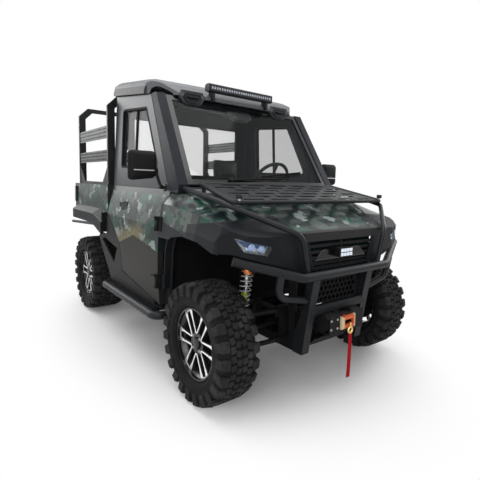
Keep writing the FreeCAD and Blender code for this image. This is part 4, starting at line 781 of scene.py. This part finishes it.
def tyre(place):
    node = "tyre_" + place
    centre, (_, width, _) = boxOf(node)
    half = width / 2
    outline = [(radius, y * half) for radius, y in tyreForm["profile"]]
    bead, share = tyreForm["bead"]
    closed = outline + [(radius, -y) for radius, y in outline[-2::-1]] + [(bead, -share * half), (bead, share * half)]
    carcass = spun("carcass", closed, 72, "tyre", centre)
    pitch = 360 / tyreForm["pitches"]
    share, length, drop, radius = tyreForm["shoulder"]
    blocks = []
    for side in (-1, 1):
        for index, row in enumerate(tyreForm["rows"]):
            for turn in (0, 0.5) if index < 2 else (0,):
                step = 0.25 * side + 0.25 * (index == 1) + turn
                blocks.append(treadBlock(centre, half, row, side, pitch * step))
        blocks.append(treadBlock(centre, half, (share, length, drop / half, 0, radius, 90), side, pitch * 0.25 * side))
    sector = joined("sector", blocks)
    # the blocks take the lighter rubber, a painted highlight against the darker carcass
    painted(sector, "tread")
    ring = [copyOf(sector, about(centre, turned(pitch * turn))) for turn in range(1, tyreForm["pitches"])]
    fitted("tread_" + node, [carcass, sector] + ring, "tyre", "wheel_" + place, node)


wheelForm = {
    "spokes": 6,
    "turn": 90,
    "faceInset": 0.017,
    "near": (0.062, 24),  # radius and degrees off the spoke's middle, at the hub
    "foot": (0.183, 9.5),
    "heel": 0.62,  # share of the leg where its bright foot widens
    "bowTurn": 30,
    "leg": 0.0085,  # half width of the black bar
    "depth": 0.026,
    "edge": 0.0042,  # half width of the bright edge
    "bright": (-0.001, 0.0018),  # back and front of the bright edge
    "footWidth": 0.0125,
    "barrel": ((0.200, 0.0), (0.200, 0.014), (0.186, 0.030), (0.176, 0.050)),
    "wall": 0.009,
    "turned": (  # name, steps, finish, profile about the axle from the spokes' face
        ("cap", 32, "glossBlack", ((0.0, 0.012), (0.022, 0.011), (0.031, 0.008), (0.035, 0.0), (0.035, -0.02),
                                   (0.0, -0.02))),
        ("hub", 40, "rimBlack", ((0.033, -0.004), (0.064, -0.004), (0.068, -0.03), (0.033, -0.03))),
        ("disc", 48, "frameBlack", ((0.02, -0.070), (0.135, -0.070), (0.135, -0.078), (0.02, -0.078))),
    ),
    "nuts": (4, 0.0485, 0.0085),  # count, circle and radius
}


def onWheel(radius, degrees):
    return turned(degrees) @ Vector((0, 0, radius))


def bar(name, start, end, halfStart, halfEnd, low, high, material, bevel=0.0):
    # Flat bar in the wheel's plane whose width changes from start to end.
    run = end - start
    piece = block(name, (-1, low, 0), (1, high, run.length), material)
    for vertex in piece.data.vertices:
        vertex.co.x *= halfEnd if vertex.co.z > run.length / 2 else halfStart
    if bevel:
        pick(piece)
        with editing():
            bpy.ops.mesh.bevel(offset=bevel, segments=1)
    piece.data.transform(inPlane(start, run))
    deselect()
    return piece


def brightBar(name, start, end, halfStart, halfEnd):
    return bar(name, start, end, halfStart, halfEnd, *wheelForm["bright"], "alloy", 0.0006)


def splitSpoke():
    pieces = []
    nearRadius, nearTurn = wheelForm["near"]
    footRadius, footTurn = wheelForm["foot"]
    edge, leg, depth = wheelForm["edge"], wheelForm["leg"], wheelForm["depth"]
    for side in (-1, 1):
        near, foot = onWheel(nearRadius, nearTurn * side), onWheel(footRadius, footTurn * side)
        heel = near.lerp(foot, wheelForm["heel"])
        bow = onWheel(nearRadius * 0.97, wheelForm["bowTurn"] * side)
        pieces += [
            bar("leg", near * 0.9, foot, leg * 0.8, leg * 1.3, -depth, 0, "rimBlack", 0.0015),
            brightBar("edge", near, heel, edge * 0.75, edge * 1.1),
            brightBar("foot", heel, foot, edge * 1.1, wheelForm["footWidth"]),
            brightBar("bow", near, bow, edge * 0.9, edge * 0.9),
        ]
    ends = [onWheel(footRadius + 0.004, footTurn * share) for share in (-1.35, -0.45, 0.45, 1.35)]
    for first, second in zip(ends, ends[1:]):
        pieces.append(brightBar("arc", first, second, edge * 0.8, edge * 0.8))
        pieces.append(bar("back", first, second, edge * 2.4, edge * 2.4, -depth * 0.8, -0.001, "rimBlack"))
    return joined("spoke", pieces)


def rimWheel(place, side):
    node = "rim_" + place
    centre, (_, width, _) = boxOf(node)
    half, wall = width / 2, wheelForm["wall"]
    outside = [(radius, half - drop) for radius, drop in wheelForm["barrel"]]
    inside = [(radius - wall, half - drop - 0.003 * (drop > 0)) for radius, drop in wheelForm["barrel"]]
    loop = outside + [(r, -y) for r, y in outside[::-1]] + [(r, -y) for r, y in inside] + inside[::-1]
    barrel = spun("barrel", loop, 72, "rimBlack")
    face = Vector((0, half - wheelForm["faceInset"], 0))
    spoke = splitSpoke()
    spoke.data.transform(Matrix.Translation(face))
    step = 360 / wheelForm["spokes"]
    pieces = [barrel, spoke] + [copyOf(spoke, turned(step * turn)) for turn in range(1, wheelForm["spokes"])]
    pieces += [spun(name, profile, steps, material, face) for name, steps, material, profile in wheelForm["turned"]]
    count, circle, radius = wheelForm["nuts"]
    for turn in range(count):
        spot = onWheel(circle, 45 + 360 / count * turn) + face
        back, front = (spot + Vector((0, y, 0)) for y in (-0.010, 0.004))
        pieces.append(rod("nut", back, front, radius, "steel", 6, 0.001))
    piece = joined("wheel_" + node, pieces)
    piece.data.transform(turned(wheelForm["turn"]))
    if side < 0:
        mirrored(piece)
    piece.data.transform(Matrix.Translation(centre))
    carried(piece, "rim_black", "wheel_" + place, node)


for end in ("front", "rear"):
    for name, side in sides.items():
        tyre("%s_%s" % (end, name))
        rimWheel("%s_%s" % (end, name), side)
print("tyres and wheels made")


# Coil springs over the shock absorbers

springForm = {
    "turns": 7,
    "radius": 0.034,
    "wire": 0.0036,
    "body": 0.021,
    "rods": (  # name, shares of the run, share of the body's radius, finish, sides, bevel
        ("sleeve", 0.10, 0.42, 1, "lime", 20, 0.002),
        ("stem", 0.42, 0.86, 0.6, "chrome", 16, 0),
        ("head", 0.84, 0.97, 1.25, "copper", 20, 0.003),
        ("plate", 0.06, 0.08, 2, "copper", 24, 0.001),
        ("plate", 0.90, 0.92, 2, "copper", 24, 0.001),
    ),
    "ends": (  # along, foot and top offsets, foot and top heights
        (frontAxle, 0.455, 0.410, 0.475, 0.730),
        (rearAxle, 0.408, 0.363, 0.475, 0.824),
    ),
}


def spring(foot, top):
    foot = Vector(foot)
    run = Vector(top) - foot
    bpy.ops.mesh.primitive_circle_add(vertices=8, radius=springForm["wire"], location=(springForm["radius"], 0, 0),
                                      rotation=(math.radians(90), 0, 0))
    coil = bpy.context.object
    bpy.ops.object.transform_apply(location=True, rotation=True, scale=True)
    turns = springForm["turns"]
    applied(coil, "SCREW", axis="Z", steps=20, render_steps=20, iterations=turns, screw_offset=run.length * 0.8 / turns)
    with editing():
        bpy.ops.mesh.normals_make_consistent(inside=False)
    smooth(50)
    settle(coil, "coil", "coilWhite")
    coil.data.transform(aimed(foot + run * 0.08, run))
    rods = [rod(part, foot + run * low, foot + run * high, springForm["body"] * share, material, edges, bevel)
            for part, low, high, share, material, edges, bevel in springForm["rods"]]
    return joined("spring", [coil] + rods)


springs = [spring((x, footY * side, footZ), (x, topY * side, topZ))
           for x, footY, topY, footZ, topZ in springForm["ends"] for side in (-1, 1)]
fitted("coilShocks", springs, "steel", "chassis", "shock_absorbers")
print("springs wound")


# Window gaskets, the upright bar of the side window and the door pulls

windowForm = {
    "gasket": 0.016,
    "gasketDepth": 0.018,
    "barX": -0.006,
    "barHalf": (0.013, 0.007),
    "handle": (-0.108, 1.024),
    "pull": (0.037, 0.014),
}


def sideWindows():
    for name, side in sides.items():
        body, pane = "door_%s_body" % name, "door_glass_" + name
        ring = nodeCopy(pane, "windowGasket", lambda middle, normal: normal.y * side > 0.7)
        pick(ring)
        with editing():
            bpy.ops.mesh.inset(thickness=windowForm["gasket"], depth=0)
            bpy.ops.mesh.delete(type="FACE")
            selectAll()
            out = (0, side * windowForm["gasketDepth"], 0)
            bpy.ops.mesh.extrude_region_move(TRANSFORM_OT_translate={"value": out})
            selectAll()
            bpy.ops.mesh.normals_make_consistent(inside=False)
        painted(ring, "rubber")
        low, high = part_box(pane)
        inner, outer = sorted((abs(low[1]), abs(high[1])))
        x, (wide, deep) = windowForm["barX"], windowForm["barHalf"]
        foot = Vector((x, side * (outer + 0.002), low[2] + 0.004))
        run = Vector((x, side * (inner + 0.004), high[2] - 0.02)) - foot
        upright = block("upright", (-wide, -deep, -run.length / 2), (wide, deep, run.length / 2), "rubber", 0.003, 2)
        upright.data.transform(aimed(foot + run / 2, run))
        hx, hz = windowForm["handle"]
        y = skinAt("door_" + name, (hx, side * 1.2, hz), (0, -side, 0)).y
        half, rise = windowForm["pull"]
        back, front = (hx - half, y - side * 0.002, hz - rise), (hx + half, y + side * 0.009, hz + rise)
        fitted("windowTrim_" + name, [ring, upright], "plastic_black", body)
        carried(block("doorPull_" + name, back, front, "coat", 0.004, 2), "plastic_black", body)


# Windscreen border, hinge brackets, latch and wiper

screenForm = {
    "border": 0.038,
    "bracketX": 0.360,
    "bracket": (0.406, 1.822, 0.100, 0.046),  # offset, height, half width, half height
    "latch": (0.0, 1.736, 0.118, 0.032),
    "hexagon": ((-1, 0.15), (-0.72, -0.75), (-0.45, -1), (0.45, -1), (0.72, -0.75), (1, 0.15), (0.8, 1), (-0.8, 1)),
    "wiper": ((-0.30, 0.035), (0.18, 0.060)),
    "wiperGap": 0.016,
}


def hexPlate(name, y, z, wide, tall, thickness, material, ahead):
    x = screenForm["bracketX"] + ahead
    corners = [(x, y + wide * across, z + tall * up) for across, up in screenForm["hexagon"]]
    return plate(name, corners, thickness, material, wide * 0.1, 0.003)


def windscreenTrim():
    glass = nodeCopy("cab_glass", "screenBorder", lambda middle, normal: normal.x > 0.3 and middle.x > 0.1)
    points = sorted((vertex.co.copy() for vertex in glass.data.vertices), key=lambda point: point.z)
    bpy.data.objects.remove(glass)
    low, high = (sorted((point for point in points if abs(point.z - edge.z) < 0.02), key=lambda point: point.y)
                 for edge in (points[0], points[-1]))
    corners = [low[0], low[-1], high[-1], high[0]]
    outward = (corners[1] - corners[0]).cross(corners[3] - corners[0]).normalized()
    border = ngon([corner + outward * 0.003 for corner in corners])
    with editing():
        bpy.ops.mesh.inset(thickness=screenForm["border"], depth=0)
        bpy.ops.mesh.delete(type="FACE")
    applied(border, "SOLIDIFY", thickness=0.002, offset=0)
    pieces = [settle(border, "screenBorder", "glossBlack")]
    x = screenForm["bracketX"]
    y, z, wide, tall = screenForm["bracket"]
    for side in (-1, 1):
        pin = [(x + 0.012, y * side + wide * share, z) for share in (-0.4, 0.4)]
        pieces += [hexPlate("hingeBase", y * side, z, wide, tall, 0.022, "roofEdge", 0.0),
                   hexPlate("hingePad", y * side, z - tall * 0.12, wide * 0.72, tall * 0.68, 0.008, "coat", 0.008),
                   rod("hingePin", *pin, 0.008, "charcoal", 12, 0.001)]
    y, z, wide, tall = screenForm["latch"]
    pieces += [hexPlate("latchBase", y, z, wide, tall, 0.018, "roofEdge", 0.008),
               hexPlate("latchPad", y, z, wide * 0.66, tall * 0.6, 0.01, "glossBlack", 0.014),
               rod("latchStay", (x + 0.004, -0.42, z + 0.014), (x + 0.004, 0.10, z - 0.004), 0.006, "roofEdge", 10)]
    rise = high[0] - low[0]
    up = Vector((rise.x, 0, rise.z)).normalized()
    foot = low[0].lerp(low[-1], 0.5) + outward * screenForm["wiperGap"]
    start, end = (foot + Vector((0, across, 0)) + up * lift for across, lift in screenForm["wiper"])
    reach = (end - start).normalized() * 0.2
    pieces += [rod("wiperArm", start, end, 0.006, "plastic", 10),
               rod("wiperBlade", end - reach + up * 0.02, end + reach + up * 0.05, 0.007, "rubber", 8),
               rod("wiperPivot", start - outward * 0.016, start + outward * 0.01, 0.016, "plastic", 16, 0.003)]
    fitted("screenTrim", pieces)


# Lamps

lampForm = {
    "ends": ((0.2715, 0.6815, 0.9265), (0.345, 0.5325, 0.8915)),  # of the lens, from the front axle
    "heading": (0.86, 0.46, 0.2),
    "projectors": ((0.40, 0.023), (0.72, 0.019)),
    "eyeBack": 0.013,
    "eyeLift": 0.006,
    "layers": (  # finish, scale about the middle, move
        ("reflector", (0.90, 0.90, 0.90), (-0.024, -0.008, 0)),
        ("lampBowl", (0.84, 0.84, 0.52), (-0.012, -0.004, 0.009)),
    ),
    "cells": 26,
    "barHalf": 0.278,
}


def headlampUnits():
    pieces = []
    for side in (-1, 1):
        shell = nodeCopy("headlamps", "lens", lambda middle, normal: middle.y * side > 0)
        painted(shell, "lampGlass")
        pieces.append(shell)
        places = [vertex.co for vertex in shell.data.vertices]
        middle = sum(places, Vector()) / len(places)
        for material, scale, (dx, dy, dz) in lampForm["layers"]:
            fit = Matrix.Translation((dx, dy * side, dz)) @ about(middle, Matrix.Diagonal((*scale, 1)))
            pieces.append(copyOf(shell, fit))
            painted(pieces[-1], material)
        outer, inner = (Vector((frontAxle + x, y * side, z)) for x, y, z in lampForm["ends"])
        hx, hy, hz = lampForm["heading"]
        heading = Vector((hx, hy * side, hz)).normalized()
        for share, radius in lampForm["projectors"]:
            spot = outer.lerp(inner, share) - heading * lampForm["eyeBack"]
            spot.z += lampForm["eyeLift"]
            eye = [(0.0, 0.012), (radius * 0.5, 0.0105), (radius * 0.82, 0.006), (radius, -0.002), (0.0, -0.002)]
            ring = [(radius, 0.004), (radius * 1.25, 0.001), (radius * 1.3, -0.012), (radius, -0.012)]
            # the projector lens glows with a painted highlight for its glassy shine
            for part in (spun("projector", eye, 24, "projector"), spun("ring", ring, 28, "chrome")):
                part.data.transform(aimed(spot, heading, "Y", "Z"))
                pieces.append(part)
    fitted("headlampUnits", pieces, "lamp_glass", "chassis", "headlamps")


def lightBarCells():
    low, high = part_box("light_bar")
    x, z, half = high[0], high[2] - 0.029, lampForm["barHalf"]
    pieces = [block("bezel", (x - 0.004, -half, z - 0.020), (x + 0.001, half, z + 0.020), "glossBlack", 0.002, 2)]
    wide = half * 0.6 / lampForm["cells"]
    for y in shares(-half, half, lampForm["cells"]):
        pieces.append(block("cell", (x, y - wide, z - 0.009), (x + 0.0025, y + wide, z + 0.009), "barCell", 0.0025, 2))
    fitted("barCells", pieces, "lamp_glass")


# Radiator behind the grille, plate bracket with its small lamp, and winch fittings

noseForm = {
    "radiatorX": 1.372,
    "radiatorHalf": 0.300,
    "radiatorZ": (0.552, 0.925),
    "fins": 36,
    "bracketX": 1.438,
    "bracket": ((-0.231, 0.812), (0.231, 0.812), (0.165, 0.872), (-0.165, 0.872)),
    "lampSpot": (1.489, -0.008, 0.853),
    "plateBolts": (-0.115, 0.443, 0.026),
    "stopper": (1.517, -0.047, 0.482),
    "knobX": 1.250,
}


def radiatorCore():
    x, half = noseForm["radiatorX"], noseForm["radiatorHalf"]
    low, high = noseForm["radiatorZ"]
    core = [block("core", (x - 0.03, -half, low), (x - 0.012, half, high), "radiator", 0.006, 2)]
    for y in shares(-half, half, noseForm["fins"]):
        back, front = (x - 0.012, y - 0.002, low + 0.02), (x - 0.004, y + 0.002, high - 0.02)
        core.append(block("fin", back, front, "radiator", 0.0008))
    for side in (-1, 1):
        back, front = (x - 0.04, side * (half + 0.012), low - 0.02), (x + 0.029, side * (half + 0.018), high + 0.01)
        core.append(block("cheek", back, front, "radiator", 0.002))
    core.append(block("shelf", (x - 0.03, -half, low - 0.004), (x + 0.028, half, low + 0.004), "radiator", 0.002))
    fitted("radiatorCore", core)


def plateBracket():
    back = noseForm["bracketX"]
    x, y, z = noseForm["lampSpot"]
    pieces = [plate("bracket", [(back, *corner) for corner in noseForm["bracket"]], 0.005, "glossBlack", 0.007, 0.0015),
              block("case", (back, y - 0.056, z - 0.027), (x - 0.004, y + 0.056, z + 0.027), "plastic", 0.006, 3)]
    for across in (-0.039, -0.013, 0.013, 0.039):
        for up in (z - 0.012, z + 0.012):
            low, high = (x - 0.006, y + across - 0.011, up - 0.010), (x, y + across + 0.011, up + 0.010)
            pieces.append(block("eye", low, high, "ledCell", 0.003, 2))
    fitted("plateBracket", pieces)


def winchFittings():
    y, z, spread = noseForm["plateBolts"]
    bolts = []
    for dy in (-spread, spread):
        for dz in (-spread, spread):
            face = skinAt("chassis_frame", (1.8, y + dy, z + dz), (-1, 0, 0))
            if face.x < 1.6:
                back, front = (face + Vector((x, 0, 0)) for x in (-0.002, 0.007))
                bolts.append(rod("bolt", back, front, 0.0075, "steel", 6, 0.001))
    x, y, z = noseForm["stopper"]
    bolts.append(rod("stopper", (x, y, z - 0.002), (x, y, z + 0.014), 0.0085, "redLens", 16, 0.003))
    fitted("winchFittings", bolts, "steel")


def rackKnobs():
    low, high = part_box("hood_rack")
    knobs = []
    for y in (low[1] + 0.035, high[1] - 0.035):
        x, y, z = skinAt("hood_rack", (noseForm["knobX"], y, 1.6), (0, 0, -1))
        knobs += [rod("stud", (x, y, z - 0.004), (x, y, z + 0.012), 0.008, "steel", 8),
                  rod("knob", (x, y, z + 0.008), (x, y, z + 0.032), 0.019, "coat", 8, 0.004)]
    fitted("rackKnobs", knobs, "frame_black")


sideWindows()
windscreenTrim()
headlampUnits()
lightBarCells()
radiatorCore()
plateBracket()
winchFittings()
rackKnobs()
print("trim, lamps and fittings made")


# Lower legs of the front fenders, liners at the flares, side step treads and door pull surrounds

bodyForm = {
    "leg": ((0.582, 0.405), (0.632, 0.405), (0.642, 0.52), (0.654, 0.70), (0.664, 0.80), (0.700, 0.885), (0.700, 0.93),
            (0.582, 0.93)),
    "legY": (0.698, 0.718),
    "lip": ((0.645, 0.56), (0.655, 0.70), (0.665, 0.80), (0.700, 0.885)),
    "lipY": 0.756,
    "liner": ((-0.500, 0.700, 0.79), (-0.476, 0.786, 0.955)),
    "tread": (0.690, 0.800),
    "ribs": 34,
    "pullPlate": ((-0.078, 0.030), (0.040, 0.046), (0.078, 0.016), (0.030, -0.050), (-0.062, -0.034)),
}


def fenderLegs():
    inner, high = bodyForm["legY"]
    pieces = []
    for side in (-1, 1):
        corners = [(x, side * high, z) for x, z in bodyForm["leg"]]
        pieces.append(plate("leg", corners[::-side], high - inner, "charcoal", 0.006, 0.003))
        points = [Vector((x, 0, z)) for x, z in bodyForm["lip"]]
        for start, end in zip(points, points[1:]):
            run = end - start
            low = (-0.006, high - 0.004, -0.003)
            fold = block("fold", low, (0.004, bodyForm["lipY"], run.length + 0.003), "charcoal", 0.002)
            fold.data.transform(inPlane(start, run))
            if side < 0:
                mirrored(fold)
            pieces.append(fold)
    fitted("fenderLegs", pieces, "plastic_charcoal")


def flareLiners():
    (x0, y0, z0), (x1, y1, z1) = bodyForm["liner"]
    pieces = [block("liner", (x0, y0 * side, z0), (x1, y1 * side, z1), "tub", 0.006, 2) for side in (-1, 1)]
    fitted("flareLiners", pieces, "plastic_black", "bed")


def stepTreads():
    low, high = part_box("side_steps")
    start, end, top = low[0] + 0.09, high[0] - 0.10, high[2]
    pieces = []
    for side in (-1, 1):
        inner, outer = (side * y for y in bodyForm["tread"])
        for x in shares(start, end, bodyForm["ribs"], 0):
            pieces.append(block("rib", (x, inner, top - 0.008), (x + 0.012, outer, top + 0.002), "coat", 0.002))
        pieces.append(block("pan", (start, inner, top - 0.018), (end, outer, top - 0.006), "plastic", 0.003))
    fitted("stepTreads", pieces)


def pullPlates():
    hx, hz = windowForm["handle"]
    for name, side in sides.items():
        y = skinAt("door_" + name, (hx + 0.075, side * 1.2, hz), (0, -side, 0)).y + side * 0.003
        corners = [(hx + dx, y, hz + dz) for dx, dz in bodyForm["pullPlate"]]
        piece = plate("pullPlate_" + name, corners[::side], 0.006, "coat", 0.009, 0.004)
        carried(piece, "plastic_black", "door_%s_body" % name)


# Door mirrors: a two-part head on a bent arm

mirrorForm = {
    "head": ((0.514, 0.752, 1.222), (0.572, 0.946, 1.424)),
    "foot": (0.548, 1.19),
    "arm": 0.0105,
}


def mirrorHead():
    (x0, y0, z0), (x1, y1, z1) = mirrorForm["head"]
    shell = block("shell", (x0 + 0.006, y0, z0), (x1, y1, z1), "plastic")
    for vertex in shell.data.vertices:
        low, near = vertex.co.z < (z0 + z1) / 2, vertex.co.y < (y0 + y1) / 2
        if vertex.co.x > x1 - 0.001:
            vertex.co.y = y0 + 0.018 if near else y1 - 0.022
            vertex.co.z = z0 + 0.024 if low else z1 - 0.016
        if low and near:
            vertex.co.z += 0.020
    pick(shell)
    with editing():
        bpy.ops.mesh.bevel(offset=0.027, segments=4)
        selectAll()
        bpy.ops.mesh.bisect(plane_co=(0, 0, z0 + (z1 - z0) * 0.36), plane_no=(0.25, 0, 1))
    smooth(35)
    deselect()
    band = (x1 - 0.020, y0 + 0.03, z0 + 0.070), (x1 + 0.001, y1 - 0.035, z0 + 0.078)
    glass = (x0 + 0.001, y0 + 0.014, z0 + 0.030), (x0 + 0.008, y1 - 0.014, z1 - 0.014)
    return [shell, block("band", *band, "steel", 0.002, 2), block("glass", *glass, "chrome", 0.0025, 2)]


def mirrorArm():
    x, z = mirrorForm["foot"]
    root = Vector((x, -skinAt("door_right", (0.54, -1.2, z), (0, 1, 0)).y - 0.004, z))
    bend = Vector((x - 0.003, root.y + 0.035, z + 0.006))
    head = Vector((x - 0.005, mirrorForm["head"][0][1] + 0.012, z + 0.102))
    across, out, up = Vector((0.014, 0, 0)), Vector((0, 0.002, 0)), Vector((0, 0, 0.02))
    return [rod("arm", root, bend, mirrorForm["arm"], "coat", 14),
            rod("arm", bend, head, mirrorForm["arm"], "coat", 14),
            rod("knuckle", bend - across, bend + across, 0.015, "coat", 16, 0.002),
            rod("foot", root - out * 3, root + out * 5, 0.026, "coat", 20, 0.003),
            rod("ball", head - up, head + up, 0.017, "plastic", 16, 0.004)]


def mirrors():
    for name, side in sides.items():
        piece = joined("doorMirror_" + name, mirrorHead() + mirrorArm())
        if side < 0:
            mirrored(piece)
        carried(piece, "plastic_black", "door_%s_body" % name, "mirror_" + name)


fenderLegs()
flareLiners()
stepTreads()
pullPlates()
mirrors()
print("body details made")


# Padded seats: each CAD block is remeshed, swelled as cloth and sewn with channels

padForm = {
    "voxel": 0.010,
    "inset": 0.009,
    "pressure": 4.0,
    "frames": 20,
    "cap": 0.024,  # longest way that the cloth may move a point
    "spare": 0.002,  # past the box of the solid
    "seamWidth": 0.012,
    "seamDepth": 0.009,
    "bolster": 0.62,  # share of the half width where the side bolsters are sewn on
    "cushionChannels": (0.30, 0.64),
    "backChannels": (0.22, 0.42, 0.62),
}


def swelled(pad):
    rest = [vertex.co.copy() for vertex in pad.data.vertices]
    cloth = pad.modifiers.new("swell", "CLOTH")
    cloth.settings.quality, cloth.settings.use_pressure = 4, True
    cloth.settings.uniform_pressure_force = padForm["pressure"]
    cloth.settings.effector_weights.gravity = 0
    scene = bpy.context.scene
    for moment in range(1, padForm["frames"] + 1):
        scene.frame_set(moment)
    shaped = pad.evaluated_get(bpy.context.evaluated_depsgraph_get())
    moved = [vertex.co.copy() for vertex in shaped.to_mesh().vertices]
    shaped.to_mesh_clear()
    pad.modifiers.remove(cloth)
    scene.frame_set(1)
    for vertex, start, end in zip(pad.data.vertices, rest, moved):
        step = end - start
        if step.length > padForm["cap"]:
            step = step.normalized() * padForm["cap"]
        vertex.co = start + step


def sewn(pad, low, high, channels, along):
    # Channels across the pad and one seam along each side bolster.
    width, depth = padForm["seamWidth"], padForm["seamDepth"]
    middle = (low.y + high.y) / 2
    bolster = (high.y - low.y) / 2 * padForm["bolster"]
    pulled = []
    for vertex in pad.data.vertices:
        across = abs(vertex.co.y - middle)
        gaps = [abs(across - bolster)]
        if across < bolster:
            gaps += [abs(vertex.co[along] - low[along] - (high[along] - low[along]) * share) for share in channels]
        gap = min(gaps)
        if gap < width:
            pulled.append((vertex, vertex.normal * depth * (1 - (gap / width) ** 2) ** 2))
    for vertex, pull in pulled:
        vertex.co -= pull


def seatPads(node, name, channels, along):
    pick(nodeCopy(node, name))
    with editing():
        bpy.ops.mesh.separate(type="LOOSE")
    pads = [piece for piece in bpy.context.selected_objects if piece.type == "MESH"]
    pads.sort(key=lambda piece: (round(piece.data.vertices[0].co.y, 2), piece.data.vertices[0].co.z))
    for index, pad in enumerate(pads):
        low, high = (Vector([end(vertex.co[axis] for vertex in pad.data.vertices) for axis in range(3)])
                     for end in (min, max))
        shrink = Matrix.Diagonal([(side - padForm["inset"] * 2) / side for side in high - low] + [1])
        pad.data.transform(about((low + high) / 2, shrink))
        pick(pad)
        applied(pad, "REMESH", mode="VOXEL", voxel_size=padForm["voxel"])
        swelled(pad)
        applied(pad, "SUBSURF", levels=1, render_levels=1)
        sewn(pad, low, high, channels, along)
        spare = Vector([padForm["spare"]] * 3)
        for vertex in pad.data.vertices:
            limits = zip(vertex.co, low - spare, high + spare)
            vertex.co = [min(max(place, least), most) for place, least, most in limits]
        for face in pad.data.polygons:
            face.use_smooth = True
        painted(pad, "vinyl")
        pad.name = "%s_%d" % (name, index + 1)
        carried(pad, "cushion", "chassis", node)
    deselect()


seatPads("seat_cushions", "seatPad", padForm["cushionChannels"], 0)
seatPads("seat_backs", "backPad", padForm["backChannels"], 2)
print("seats padded")
